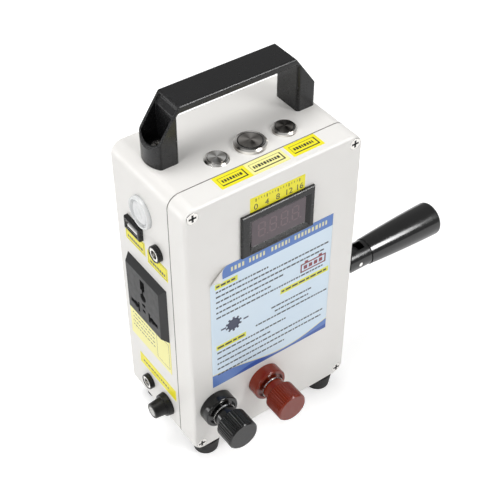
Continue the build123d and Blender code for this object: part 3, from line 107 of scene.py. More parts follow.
def grained(tree, place, size, depth, strength=1.0, rounding=0.0):
    """A fine bumpy grain, over edges that look rounded by the given radius in mm."""
    noise = add(tree, "TexNoise", {"Vector": place, "Scale": 1 / (size * MM), "Detail": 1.0})
    sockets = {"Height": noise.outputs[0], "Distance": depth * MM, "Strength": strength}
    if rounding:
        sockets["Normal"] = add(tree, "Bevel", {"Radius": rounding * MM}, samples=4).outputs[0]
    return add(tree, "Bump", sockets).outputs[0]


def painted_shade_in_corners(tree, reach, open_colour, painted_shade_colour):
    """Painted shade: one colour in the open, and a darker one in recesses narrower than the reach
    in mm.
    """
    shade = add(tree, "AmbientOcclusion", {"Distance": reach * MM}, samples=6)
    sharp = add(tree, "MapRange", {"Value": shade.outputs["AO"], 1: 0.45, 2: 0.9})
    colours = {0: sharp.outputs[0], 6: linear(painted_shade_colour), 7: linear(open_colour)}
    return add(tree, "Mix", colours, data_type="RGBA").outputs[2]


def link(tree, output, shader, socket):
    """Feeds a socket of the shader from a node's output."""
    tree.links.new(output, shader.inputs[socket])


def moulded(name, one, other, roughness, grain=0.3, depth=0.006, rounding=0.5, specular=0.5):
    """Moulded plastic: an even colour, a fine grain from the mould, softly rounded edges."""
    material, tree, shader, place = start(name)
    link(tree, mottled(tree, place, 30, one, other), shader, "Base Color")
    low, high = roughness
    link(tree, uneven(tree, place, 4, low, high), shader, "Roughness")
    link(tree, grained(tree, place, grain, depth, rounding=rounding), shader, "Normal")
    shader.inputs["Specular IOR Level"].default_value = specular
    return material


def moulded_white_abs():
    # ABS, injection moulded in a spark-eroded mould: an off-white that barely varies, with a
    # satin sheen. The mould's grain is about 0.2 mm, drawn at 0.6 mm so that it shows.
    material = moulded(
        "moulded_white_abs", "#EBE9E6", "#E6E4E0", (0.36, 0.46), 0.6, 0.010, rounding=0.35
    )
    material.node_tree.nodes["Principled BSDF"].inputs["IOR"].default_value = 1.54
    return material


def glass_filled_nylon():
    # Nylon with glass fibre, injection moulded: near black and satin, with a slight orange
    # peel of about 0.45 mm from the fibres, and edges that catch a thin bright line.
    return moulded(
        "glass_filled_nylon", "#19191A", "#131314", (0.22, 0.30), 0.45, 0.006, 0.7, 0.32
    )


def socket_nylon():
    # Unfilled nylon, moulded with an etched face: a dark grey that stays matt.
    return moulded("socket_nylon", "#363637", "#2F2F30", (0.42, 0.52), 0.35, 0.010, 0.5, 0.3)


def polished_phenolic(name, one, other, specular=0.3):
    # Phenolic resin, pressed in a polished mould: deep colour under a hard glossy skin, with
    # faint flow lines a few millimetres wide in the gloss.
    material, tree, shader, place = start(name)
    link(tree, mottled(tree, place, 12, one, other), shader, "Base Color")
    link(tree, uneven(tree, place, 3, 0.13, 0.2), shader, "Roughness")
    link(tree, grained(tree, place, 2.5, 0.006, rounding=0.25), shader, "Normal")
    shader.inputs["IOR"].default_value = 1.6
    shader.inputs["Specular IOR Level"].default_value = specular
    return material


def moulded_rubber():
    # Nitrile rubber, compression moulded: a dull dark grey with a dusty, pitted skin.
    return moulded("moulded_rubber", "#262626", "#1B1B1B", (0.62, 0.78), 0.8, 0.03, 0.4, 0.35)


def turned_stainless(name, centre_x, centre_y, one, other, roughness=0.3, mirror_offset=0.0):
    # Stainless steel, faced on a lathe: fine rings about the middle, and a painted reflection
    # of a lamp as bright and dark sectors in the colour. The tool marks are 0.05 mm apart,
    # drawn at 0.35 mm. With a mirror offset there are two sets of rings, each that far in X
    # from the centre given.
    ring_spacing, ring_depth = 0.35, 0.004
    painted_highlight_sectors = 4
    material, tree, shader, place = start(name)
    apart = add(tree, "SeparateXYZ", {0: place})
    from_middle = add(
        tree, "Math", {0: apart.outputs[0], 1: centre_x * MM}, operation="SUBTRACT"
    ).outputs[0]
    if mirror_offset:
        folded = add(tree, "Math", {0: from_middle}, operation="ABSOLUTE").outputs[0]
        from_middle = add(
            tree, "Math", {0: folded, 1: mirror_offset * MM}, operation="SUBTRACT"
        ).outputs[0]
    across = add(tree, "Math", {0: apart.outputs[1], 1: centre_y * MM}, operation="SUBTRACT")
    spoke = add(tree, "CombineXYZ", {0: from_middle, 1: across.outputs[0]}).outputs[0]
    radius = add(tree, "VectorMath", {0: spoke}, operation="LENGTH").outputs["Value"]
    turns = add(
        tree, "Math", {0: radius, 1: 2 * pi / (ring_spacing * MM)}, operation="MULTIPLY"
    ).outputs[0]
    rings = add(tree, "Math", {0: turns}, operation="SINE").outputs[0]
    bump = add(tree, "Bump", {"Height": rings, "Distance": ring_depth * MM, "Strength": 0.6})
    link(tree, bump.outputs[0], shader, "Normal")
    round_about = add(tree, "VectorMath", {0: spoke, 1: (0, 0, 1)}, operation="CROSS_PRODUCT")
    unit = add(tree, "VectorMath", {0: round_about.outputs[0]}, operation="NORMALIZE")
    link(tree, unit.outputs[0], shader, "Tangent")
    # Painted reflection: the colour swings between the two given colours in sectors round the
    # middle.
    angle = add(tree, "Math", {0: across.outputs[0], 1: from_middle}, operation="ARCTAN2")
    lobes = add(
        tree, "Math", {0: angle.outputs[0], 1: float(painted_highlight_sectors)}, operation="MULTIPLY"
    )
    sectors = add(tree, "Math", {0: lobes.outputs[0]}, operation="COSINE")
    share = add(tree, "MapRange", {"Value": sectors.outputs[0], 1: -1.0, 2: 1.0}).outputs[0]
    mix = add(tree, "Mix", {0: share, 6: linear(one), 7: linear(other)}, data_type="RGBA")
    link(tree, mix.outputs[2], shader, "Base Color")
    shader.inputs["Metallic"].default_value = 1.0
    shader.inputs["Roughness"].default_value = roughness
    shader.inputs["Anisotropic"].default_value = 0.75
    return material


def nickel_plate(name="nickel_plate", open_colour="#D2CFCA", painted_shade_colour="#2B2927", reach=1.2):
    # Steel, nickel plated in a barrel: bright and slightly warm, soft reflections, and painted
    # shade darkening the colour inside its slots and crosses.
    material, tree, shader, place = start(name)
    link(tree, painted_shade_in_corners(tree, reach, open_colour, painted_shade_colour), shader, "Base Color")
    link(tree, uneven(tree, place, 1.5, 0.20, 0.32), shader, "Roughness")
    link(tree, grained(tree, place, 0.8, 0.004, rounding=0.12), shader, "Normal")
    shader.inputs["Metallic"].default_value = 1.0
    return material


def ground_steel():
    # Carbon steel, turned and ground: grey, with fine scratches about 0.4 mm apart.
    material, tree, shader, place = start("ground_steel")
    drawn = add(tree, "Mapping", {"Vector": place, "Scale": (1, 8, 1)}).outputs[0]
    link(tree, mottled(tree, drawn, 2, "#9B9B9C", "#838385", 4), shader, "Base Color")
    link(tree, uneven(tree, drawn, 0.4, 0.26, 0.42), shader, "Roughness")
    link(tree, grained(tree, drawn, 0.4, 0.004, rounding=0.1), shader, "Normal")
    shader.inputs["Metallic"].default_value = 1.0
    return material


def black_powder_coat():
    # Mild steel, sprayed with polyester powder and baked: black, with the orange peel of the
    # molten powder, about 1.2 mm from crest to crest.
    return moulded("black_powder_coat", "#1D1D1E", "#171718", (0.34, 0.44), 1.2, 0.02, 0.6, 0.5)


def sintered_bronze():
    # Tin bronze, pressed from powder and sintered: dull gold with open pores of 0.3 mm.
    material, tree, shader, place = start("sintered_bronze")
    link(tree, mottled(tree, place, 0.6, "#B58A4E", "#9A7238", 3), shader, "Base Color")
    link(tree, uneven(tree, place, 0.5, 0.38, 0.55), shader, "Roughness")
    link(tree, grained(tree, place, 0.3, 0.012), shader, "Normal")
    shader.inputs["Metallic"].default_value = 1.0
    return material


def natural_acetal():
    # Acetal, injection moulded without pigment: milky white, waxy and slightly see-through.
    material = moulded("natural_acetal", "#E8E5DA", "#DFDBCD", (0.32, 0.42), 0.5, 0.004, 0.2, 0.5)
    shader = material.node_tree.nodes["Principled BSDF"]
    shader.inputs["Subsurface Weight"].default_value = 0.1
    shader.inputs["Subsurface Scale"].default_value = 1 * MM
    return material


def circuit_board():
    # Glass-epoxy laminate under solder resist: green, glossy, with the glass weave showing
    # through at a pitch of 0.8 mm.
    weave_pitch = 0.8
    material, tree, shader, place = start("circuit_board")
    checks = {"Vector": place, "Scale": 1 / (weave_pitch * MM)}
    weave = add(tree, "TexChecker", checks).outputs["Fac"]
    colours = {0: weave, 6: linear("#1E5A33"), 7: linear("#23663B")}
    mix = add(tree, "Mix", colours, data_type="RGBA")
    link(tree, mix.outputs[2], shader, "Base Color")
    link(tree, uneven(tree, place, 2, 0.25, 0.35), shader, "Roughness")
    link(tree, grained(tree, place, weave_pitch, 0.004), shader, "Normal")
    return material


def varnished_coil():
    # Ferrite and taped winding, dipped in varnish: brownish black, with uneven gloss.
    return moulded("varnished_coil", "#2A2422", "#1E1B1A", (0.28, 0.55), 1.0, 0.03, 0.2, 0.5)


def frosted_acrylic():
    # Acrylic, moulded and blasted on one side: white and cloudy, with soft deep highlights,
    # and painted shade greying its colour in the groove.
    material, tree, shader, place = start("frosted_acrylic")
    link(tree, painted_shade_in_corners(tree, 2.5, "#F9FAFA", "#A9ACAF"), shader, "Base Color")
    link(tree, uneven(tree, place, 1.5, 0.10, 0.2), shader, "Roughness")
    link(tree, grained(tree, place, 1.2, 0.01, rounding=0.3), shader, "Normal")
    shader.inputs["IOR"].default_value = 1.49
    shader.inputs["Transmission Weight"].default_value = 0.2
    return material


def smoked_acrylic():
    # Acrylic sheet, smoked: a dark plum grey pane with a clean gloss and faint dust.
    material, tree, shader, place = start("smoked_acrylic")
    link(tree, mottled(tree, place, 9, "#54464D", "#4A3D44"), shader, "Base Color")
    link(tree, uneven(tree, place, 2, 0.12, 0.2), shader, "Roughness")
    shader.inputs["IOR"].default_value = 1.49
    return material


def moulded_white_nylon():
    # Nylon, moulded in white for the tongue of a connector: bright and slightly glossy.
    return moulded("moulded_white_nylon", "#EFEFEE", "#E6E6E5", (0.3, 0.4), 0.4, 0.004, 0.15)


def printed_film(name, one, other, roughness=(0.34, 0.44)):
    # Vinyl film, printed and cut: an even ink colour under a thin satin laminate, which is
    # slightly wavy every few millimetres where the glue holds it.
    material, tree, shader, place = start(name)
    link(tree, mottled(tree, place, 14, one, other), shader, "Base Color")
    low, high = roughness
    link(tree, uneven(tree, place, 5, low, high), shader, "Roughness")
    link(tree, grained(tree, place, 6, 0.02), shader, "Normal")
    return material


def printed_sticker():
    # Vinyl film, printed in pale blue with a deeper blue band along its top, then laminated:
    # smooth and satin, so the ink stays even.
    material, tree, shader, place = start("printed_sticker_film")
    flat = add(tree, "TexCoord").outputs["UV"]
    up = add(tree, "SeparateXYZ", {0: flat}).outputs[1]
    height = (sticker_high.z - sticker_low.z) / MM
    band = add(tree, "Math", {0: up, 1: 1 - HEADER_HEIGHT / height}, operation="GREATER_THAN")
    field = mottled(tree, place, 30, "#DDEBF6", "#D2E4F3")
    header = mottled(tree, place, 18, "#6187C8", "#5077BE")
    mix = add(tree, "Mix", {0: band.outputs[0], 6: field, 7: header}, data_type="RGBA")
    link(tree, mix.outputs[2], shader, "Base Color")
    link(tree, uneven(tree, place, 6, 0.36, 0.44), shader, "Roughness")
    link(tree, grained(tree, place, 8, 0.015), shader, "Normal")
    return material


def knob_finish():
    # Black moulded nylon with a small aluminium plate let into its end: satin black, and a
    # plate whose colour holds a painted reflection, bright in some spots and dark in others.
    plate_radius, plate_depth = 3.3, 0.15
    material, tree, shader, place = start("knob_with_spun_plate")
    low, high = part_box("regulator_knob")
    middle = (low + high) / 2
    apart = add(tree, "SeparateXYZ", {0: place})
    at_end = add(
        tree, "Math", {0: apart.outputs[0], 1: low.x + plate_depth * MM}, operation="LESS_THAN"
    ).outputs[0]
    spoke = add(
        tree, "VectorMath", {0: place, 1: (low.x, middle.y, middle.z)}, operation="SUBTRACT"
    ).outputs[0]
    radius = add(tree, "VectorMath", {0: spoke}, operation="LENGTH").outputs["Value"]
    inside = add(
        tree, "Math", {0: radius, 1: plate_radius * MM}, operation="LESS_THAN"
    ).outputs[0]
    plate = add(tree, "Math", {0: at_end, 1: inside}, operation="MULTIPLY").outputs[0]
    black = mottled(tree, place, 8, "#161616", "#101010")
    # Painted reflection on the plate: bright and dark patches in its colour.
    painted_reflection = mottled(tree, place, 1.0, "#E0E0DE", "#343434")
    mix = add(tree, "Mix", {0: plate, 6: black, 7: painted_reflection}, data_type="RGBA")
    link(tree, mix.outputs[2], shader, "Base Color")
    link(tree, plate, shader, "Metallic")
    link(tree, uneven(tree, place, 2, 0.28, 0.4), shader, "Roughness")
    link(tree, grained(tree, place, 0.4, 0.008, rounding=0.35), shader, "Normal")
    shader.inputs["Specular IOR Level"].default_value = 0.3
    return material


white_abs = moulded_white_abs()
nylon = glass_filled_nylon()
grey_nylon = socket_nylon()
black_phenolic = polished_phenolic("black_phenolic", "#111111", "#0C0C0C")
grip_phenolic = polished_phenolic("grip_phenolic", "#0D0D0D", "#090909", 0.5)
red_phenolic = polished_phenolic("red_phenolic", "#80260C", "#701F09")
rubber = moulded_rubber()
# The nickel finishes paint shade into their colour in recesses, near black in the cover screws'
# crosses.
nickel = nickel_plate()
screw_nickel = nickel_plate("crossed_nickel", "#DAD8D4", "#0B0A0A", 2.2)
bright_nickel = nickel_plate("bright_nickel", "#E6E4E0", "#4A4845", 0.6)
steel = ground_steel()
powder_coat = black_powder_coat()
bronze = sintered_bronze()
acetal = natural_acetal()
laminate = circuit_board()
coil = varnished_coil()
frosted = frosted_acrylic()
smoked = smoked_acrylic()
white_nylon = moulded_white_nylon()
label_yellow = printed_film("yellow_label_film", "#F4EA2A", "#EFE41F")
label_pale = printed_film("pale_label_film", "#F8F3A6", "#F4EE9A")
sticker_film = printed_sticker()
sticker_back = printed_film("bare_film_back", "#E4E3E0", "#DAD9D6", (0.5, 0.6))
ink_black = printed_film("black_ink", "#33332C", "#2A2A26")
ink_grey = printed_film("grey_ink", "#39424C", "#2F3740")
ink_blue = printed_film("blue_ink", "#5F83C4", "#5478BC")
ink_deep_blue = printed_film("deep_blue_ink", "#3A5DAE", "#2C4F9F")
ink_cream = printed_film("cream_ink", "#E9E3B8", "#E2DCAE")
ink_yellow = printed_film("yellow_ink", "#E9EA52", "#E1E247")
ink_red = printed_film("dark_red_ink", "#8A3A44", "#7C323C")
ink_navy = printed_film("navy_ink", "#3E4560", "#343A52")
unlit_segments = printed_film("unlit_segments", "#6E5A60", "#675359", (0.18, 0.24))
seam_shadow = printed_film("shadow_in_the_seam", "#7A7773", "#6F6C68", (0.6, 0.7))
gap_shadow = moulded("gap_shadow", "#141414", "#0F0F0F", (0.6, 0.7))

cap_places = {}
for button in ("lamp", "main", "usb"):
    low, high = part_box(button + "_button_cap")
    cap_places[button] = ((low.x + high.x) / 2 / MM, (low.y + high.y) / 2 / MM)
row_middle = (cap_places["lamp"][0] + cap_places["usb"][0]) / 2
row_half = (cap_places["usb"][0] - cap_places["lamp"][0]) / 2
button_y = cap_places["main"][1]

# Each pair is a painted highlight and a painted shade for the steel's sectors; the three caps are
# one steel, painted lighter or darker as each is lit.
steel_painted_bright = ("#F2F1EE", "#A5A29D")
steel_painted_mid = ("#B9B5B0", "#7C7874")
steel_painted_dark = ("#8F8B86", "#4B4845")
ring_painted_sectors = ("#F4F2EE", "#8F8B86")
finishes = {
    turned_stainless("turned_lamp_cap", *cap_places["lamp"], *steel_painted_bright): ["lamp_button_cap"],
    turned_stainless("turned_main_cap", *cap_places["main"], *steel_painted_mid): ["main_button_cap"],
    turned_stainless("turned_usb_cap", *cap_places["usb"], *steel_painted_dark): ["usb_button_cap"],
    turned_stainless("turned_main_ring", *cap_places["main"], *ring_painted_sectors, 0.16): [
        "main_button_housing"
    ],
    turned_stainless("turned_small_rings", row_middle, button_y, *ring_painted_sectors, 0.18, row_half): [
        "small_button_housings"
    ],
    white_abs: ["rear_shell", "front_cover"],
    nylon: [
        "carry_handle", "meter_bezel", "dc_jack_nuts", "usb_port_housing", "regulator_body",
    ],
    knob_finish(): ["regulator_knob"],
    grey_nylon: ["ac_socket"],
    black_phenolic: ["black_post_base", "black_post_cap"],
    grip_phenolic: ["grip", "grip_spindle"],
    red_phenolic: ["red_post_base", "red_post_cap"],
    rubber: ["rubber_feet", "cover_gasket"],
    nickel: [
        "foot_screws", "handle_screws", "panel_nuts", "button_nuts", "button_springs",
        "usb_port_shell", "grip_screw", "crank_screw", "frame_screws", "post_studs",
    ],
    screw_nickel: ["cover_screws"],
    bright_nickel: ["black_post_washer", "red_post_washer", "hinge_pin", "dc_jack_bodies"],
    steel: [
        "crank_shaft", "middle_shaft", "rotor_pinion", "gearbox_plates", "gearbox_spacers",
        "generator_can", "generator_rotor",
    ],
    powder_coat: ["crank_arm"],
    bronze: ["shaft_bushes", "ac_socket_contacts"],
    acetal: ["drive_gear", "middle_gear", "generator_end_cap"],
    laminate: ["power_board", "meter_board", "lamp_board"],
    coil: ["power_transformer", "board_capacitors"],
    frosted: ["lamp_lens"],
    smoked: ["meter_window"],
    white_nylon: ["usb_port_tongue"],
    label_yellow: ["marking_labels"],
    sticker_film: ["info_sticker"],
}
for finish, names in finishes.items():
    for name in names:
        nodes[name].data.materials.clear()
        nodes[name].data.materials.append(finish)


# ---------------------------------------------------------------- new pieces
# How far each top label's middle lies in X from its button's, and how wide it is.
top_labels = {"lamp": (-2.1, 20.3), "main": (-1.9, 24.7), "usb": (0.1, 21.1)}
top_label_low, top_label_high = FRONT + 4.9, FRONT + 15.5
outlet_low, outlet_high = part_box("ac_socket")
outlet_label_y = (outlet_low.y + outlet_high.y) / 2 / MM + 1.8
outlet_label_high = outlet_low.z / MM - 0.2
label_chance = random.Random(3)


def make_piece(name, bm, material, body):
    """Turns a bmesh into a piece that rides on a body and takes the finish given."""
    bmesh.ops.recalc_face_normals(bm, faces=bm.faces)
    mesh = bpy.data.meshes.new(name)
    bm.to_mesh(mesh)
    bm.free()
    mesh.materials.append(material)
    piece = bpy.data.objects.new(name, mesh)
    bpy.context.scene.collection.objects.link(piece)
    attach(piece, body)
    return piece


def add_block(bm, low, high):
    """A box between two corners, in mm."""
    low, high = Vector(low) * MM, Vector(high) * MM
    size = Matrix.Diagonal((*(high - low), 1))
    bmesh.ops.create_cube(bm, size=1, matrix=Matrix.Translation((low + high) / 2) @ size)


def on_front(bm, x0, x1, z0, z1, rise=INK, face=STICKER_FACE):
    """Ink on the sticker, or on another face towards the front."""
    add_block(bm, (x0, face - rise, z0), (x1, face, z1))


def on_left(bm, y0, y1, z0, z1, rise=INK):
    """Ink on a label on the left side."""
    face = LEFT - FILM
    add_block(bm, (face - rise, y0, z0), (face, y1, z1))


def on_top(bm, x0, x1, y0, y1, rise=INK):
    """Ink on a label on the top."""
    face = TOP + FILM
    add_block(bm, (x0, y0, face), (x1, y1, face + rise))


def print_frame(place_ink, bm, a0, a1, b0, b1, line, heavy=0.0):
    """Four ink lines round a rectangle; the far and low ones may be heavier."""
    place_ink(bm, a0, a1, b1 - line, b1)
    place_ink(bm, a0, a1, b0, b0 + max(line, heavy))
    place_ink(bm, a0, a0 + line, b0, b1)
    place_ink(bm, a1 - max(line, heavy), a1, b0, b1)


def print_words(place_ink, bm, a0, a1, b, height, chance, word, gap):
    """A row of plain short bars, whose lengths vary between the two in word."""
    at = a0
    while at < a1 - word[0] / 2:
        end = min(at + chance.uniform(*word), a1)
        place_ink(bm, at, end, b - height / 2, b + height / 2)
        at = end + gap


def curl_corner(bm, corner, legs, radius):
    """Bends the corner of a sheet that faces the front outwards, round a slanting line."""
    for vert in bm.verts:
        from_corner = ((vert.co.x - corner.x) + (corner.z - vert.co.z)) / 2 ** 0.5
        past_line = legs * MM / 2 ** 0.5 - from_corner
        if past_line > 0:
            turn = past_line / (radius * MM)
            moved = past_line - radius * MM * sin(turn)
            vert.co.x += moved / 2 ** 0.5
            vert.co.z -= moved / 2 ** 0.5
            vert.co.y -= radius * MM * (1 - cos(turn))


def sticker_sheet():
    """The sticker itself, a thin sheet whose upper left corner has come loose and curled."""
    curl_legs, curl_round = 12.5, 3.6
    width, height = sticker_high.x - sticker_low.x, sticker_high.z - sticker_low.z
    middle = (sticker_low + sticker_high) / 2
    middle.y = sticker_low.y
    bm = bmesh.new()
    bm.loops.layers.uv.new("UVMap")
    upright = Matrix.Rotation(pi / 2, 4, "X")
    size = Matrix.Diagonal((width / 2, height / 2, 1, 1))
    bmesh.ops.create_grid(
        bm, x_segments=90, y_segments=100, size=1, calc_uvs=True,
        matrix=Matrix.Translation(middle) @ upright @ size,
    )
    corner = Vector((sticker_low.x, sticker_low.y, sticker_high.z))
    curl_corner(bm, corner, curl_legs, curl_round)
    sheet = make_piece("sticker_sheet", bm, sticker_film, "case")
    sheet.data.materials.append(sticker_back)
    for face in sheet.data.polygons:
        face.use_smooth = True
    wall = sheet.modifiers.new("film_thickness", "SOLIDIFY")
    wall.thickness = FILM * MM
    wall.offset = -1
    wall.material_offset = 1
    wall.material_offset_rim = 1
    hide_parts("info_sticker")


def case_seam():
    """The shadow line where the front cover meets the rear shell."""
    near_edge, far_edge = 0.02, 0.42       # of the line, behind the seam
    skin, corner = 1.0, 8.0                # only the outer skin is kept, with its corners
    bm = bmesh.new()
    bm.from_mesh(nodes["rear_shell"].data)
    bmesh.ops.remove_doubles(bm, verts=bm.verts, dist=0.001 * MM)
    for edge, side in ((near_edge, "clear_inner"), (far_edge, "clear_outer")):
        bmesh.ops.bisect_plane(
            bm, geom=bm.verts[:] + bm.edges[:] + bm.faces[:],
            plane_co=Vector((0, SEAM + edge, 0)) * MM, plane_no=(0, 1, 0), **{side: True},
        )
    inner = []
    for face in bm.faces:
        middle = face.calc_center_median() / MM
        if (
            abs(middle.x) < -LEFT - corner
            and FLOOR_OF_CASE + skin < middle.z < TOP - skin
            or abs(middle.x) < -LEFT - skin
            and FLOOR_OF_CASE + corner < middle.z < TOP - corner
        ):
            inner.append(face)
    bmesh.ops.delete(bm, geom=inner, context="FACES")
    bm.normal_update()
    for vert in bm.verts:
        vert.co += vert.normal * INK * MM
    make_piece("case_seam", bm, seam_shadow, "case")


def sticker_print():
    """Rows of plain bars on the sticker, highlighted bars over them, and bars in its header."""
    chance = random.Random(7)
    # Each row or bar: its left end, its right end, and its height over the case's floor.
    rows = [
        (-41.5, -5.0, 132.8), (-41.5, 40.0, 128.8), (-41.5, 37.0, 124.6), (-41.5, 7.0, 120.4),
        (-41.5, -2.0, 116.0), (-41.5, 36.5, 111.8), (-2.0, 28.0, 97.0), (0.6, 26.0, 93.0),
        (-13.5, 41.0, 88.8), (-41.5, 9.0, 82.0), (-41.5, -2.5, 77.0), (-41.5, 39.0, 72.5),
        (-41.5, 37.0, 67.9), (-41.5, 8.5, 62.9),
    ]
    row_thickness = 1.2
    small = bmesh.new()
    for left, right, height in rows:
        print_words(
            on_front, small, left, right, height + FLOOR_OF_CASE, row_thickness, chance,
            word=(0.9, 3.4), gap=0.55,
        )
    make_piece("sticker_small_print", small, ink_grey, "case")

    bars = [(-42.0, -26.5, 137.0), (4.4, 40.6, 106.7), (-42.0, -20.6, 86.5)]
    half_bar, title_thickness, title_inset = 2.0, 1.5, 0.8
    highlights = bmesh.new()
    titles = bmesh.new()
    for left, right, height in bars:
        middle = height + FLOOR_OF_CASE
        on_front(highlights, left, right, middle - half_bar, middle + half_bar, INK / 2)
        print_words(
            on_front, titles, left + title_inset, right - title_inset, middle, title_thickness,
            chance, word=(2.0, 5.0), gap=0.8,
        )
    make_piece("sticker_highlights", highlights, ink_yellow, "case")
    make_piece("sticker_titles", titles, ink_black, "case")

    groups = [(-31.0, -22.0), (-18.5, -7.0), (-3.0, 10.0), (13.5, 38.0)]
    heading_middle = sticker_high.z / MM - HEADER_HEIGHT / 2
    heading_thickness = 3.2
    heading = bmesh.new()
    for left, right in groups:
        print_words(
            on_front, heading, left, right, heading_middle, heading_thickness, chance,
            word=(1.1, 1.7), gap=1.1,
        )
    make_piece("sticker_heading_bars", heading, ink_cream, "case")


def flat_shape(name, points, material, rise):
    """A thin printed shape on the sticker, inside a closed smooth curve through the points."""
    curve = bpy.data.curves.new(name, "CURVE")
    curve.dimensions = "2D"
    curve.fill_mode = "BOTH"
    curve.extrude = rise * MM / 2
    curve.resolution_u = 10
    spline = curve.splines.new("BEZIER")
    spline.bezier_points.add(len(points) - 1)
    spline.use_cyclic_u = True
    for spot, (x, z, kind) in zip(spline.bezier_points, points):
        spot.co = (x * MM, z * MM, 0)
        spot.handle_left_type = spot.handle_right_type = kind
    holder = bpy.data.objects.new(name + "_curve", curve)
    bpy.context.scene.collection.objects.link(holder)
    bpy.context.view_layer.update()
    mesh = bpy.data.meshes.new_from_object(holder)
    bpy.data.objects.remove(holder)
    bm = bmesh.new()
    bm.from_mesh(mesh)
    bpy.data.meshes.remove(mesh)
    bmesh.ops.remove_doubles(bm, verts=bm.verts, dist=0.001 * MM)
    upright = Matrix.Rotation(pi / 2, 4, "X")
    bmesh.ops.transform(bm, matrix=upright, verts=bm.verts)
    shift = Vector((0, (STICKER_FACE - rise / 2) * MM, 0))
    bmesh.ops.translate(bm, vec=shift, verts=bm.verts)
    make_piece(name, bm, material, "case")


def sticker_waves():
    """The blue wave along the bottom of the sticker, with a cream line on its crest."""
    margin = 0.05
    bottom = sticker_low.z / MM
    left, right = sticker_low.x / MM + margin, sticker_high.x / MM - margin
    crest_lift = 0.7
    for name, lift, material, rise in (
        ("sticker_wave_crest", crest_lift, ink_cream, INK * 0.5),
        ("sticker_wave", 0.0, ink_blue, INK * 0.8),
    ):
        points = [
            (left, bottom + margin, "VECTOR"),
            (left, bottom + 10.6 + lift, "VECTOR"),
            (left + 16.95, bottom + 8.6 + lift, "AUTO"),
            (-1, bottom + 2.6 + lift, "AUTO"),
            (17, bottom + 2.4 + lift, "AUTO"),
            (right, bottom + 8.6 + lift, "VECTOR"),
            (right, bottom + margin, "VECTOR"),
        ]
        flat_shape(name, points, material, rise)
    deep = [
        (left + 11.95, bottom + margin, "VECTOR"),
        (-12, bottom + 4.2, "AUTO"),
        (-1, bottom + 1.9, "AUTO"),
        (14, bottom + 1.2, "AUTO"),
        (right, bottom + 3.6, "VECTOR"),
        (right, bottom + margin, "VECTOR"),
    ]
    flat_shape("sticker_deep_wave", deep, ink_deep_blue, INK)


def battery_sign():
    """A plain battery with four cells, in the upper right of the sticker."""
    outline, pole_height, pole_width = 1.0, 1.5, 2.5
    cells, cell_width, cell_pitch, cell_inset = 4, 2.6, 3.8, 2.4
    pole_inset = 3.0
    x0, x1, z0, z1 = 19.0, 38.0, 114.0 + FLOOR_OF_CASE, 121.0 + FLOOR_OF_CASE
    bm = bmesh.new()
    print_frame(on_front, bm, x0, x1, z0, z1, outline)
    for x in (x0 + pole_inset, x1 - pole_inset - pole_width):
        on_front(bm, x, x + pole_width, z1, z1 + pole_height)
    for cell in range(cells):
        x = x0 + cell_inset + cell * cell_pitch
        on_front(bm, x, x + cell_width, z0 + 2 * outline, z1 - 2 * outline)
    make_piece("sticker_battery_sign", bm, ink_red, "case")


def gear_sign():
    """A plain gear between two dashes, in the left of the sticker."""
    teeth, radius = 10, 4.4
    tooth_width, tooth_height, tooth_middle = 1.5, 2.0, 4.8
    dash_length, dash_height = 3.6, 1.2
    centre_x, centre_z = -29.5, 100.5 + FLOOR_OF_CASE
    middle = Matrix.Translation(Vector((centre_x, STICKER_FACE - INK / 2, centre_z)) * MM)
    bm = bmesh.new()
    bmesh.ops.create_cone(
        bm, cap_ends=True, segments=40, radius1=radius * MM, radius2=radius * MM,
        depth=INK * MM, matrix=middle @ Matrix.Rotation(pi / 2, 4, "X"),
    )
    size = Matrix.Diagonal((tooth_width * MM, INK * MM, tooth_height * MM, 1))
    reach = Matrix.Translation((0, 0, tooth_middle * MM))
    for tooth in range(teeth):
        angle = Matrix.Rotation(2 * pi * tooth / teeth, 4, "Y")
        bmesh.ops.create_cube(bm, size=1, matrix=middle @ angle @ reach @ size)
    low = centre_z - dash_height / 2
    for x in (centre_x - 9.0, centre_x + 7.0):
        on_front(bm, x, x + dash_length, low, low + dash_height)
    make_piece("sticker_gear_sign", bm, ink_navy, "case")


def top_label_print():
    """Frames and plain rows on the three labels in front of the buttons."""
    side_inset, low_inset, high_inset = 1.9, 1.8, 2.2
    row_start, row_end, row_thickness = 3.4, 3.6, 2.2
    bm = bmesh.new()
    for name, (shift, width) in top_labels.items():
        x0 = cap_places[name][0] + shift - width / 2
        x1 = x0 + width
        print_frame(
            on_top, bm, x0 + side_inset, x1 - side_inset, top_label_low + low_inset,
            top_label_high - high_inset, line=0.22, heavy=0.75,
        )
        print_words(
            on_top, bm, x0 + row_start, x1 - row_end, (top_label_low + top_label_high) / 2,
            row_thickness, label_chance, word=(0.8, 1.6), gap=0.55,
        )
    make_piece("top_label_print", bm, ink_black, "case")


def pale_label_faces():
    """Paler faces on the middle label on the top and on the one under the outlet."""
    bm = bmesh.new()
    shift, width = top_labels["main"]
    x0 = cap_places["main"][0] + shift - width / 2
    on_top(bm, x0, x0 + width, top_label_low, top_label_high, INK / 2)
    half_width, height = 23.0, 28.3
    on_left(
        bm, outlet_label_y - half_width, outlet_label_y + half_width,
        outlet_label_high - height, outlet_label_high, INK / 2,
    )
    make_piece("pale_label_faces", bm, label_pale, "case")


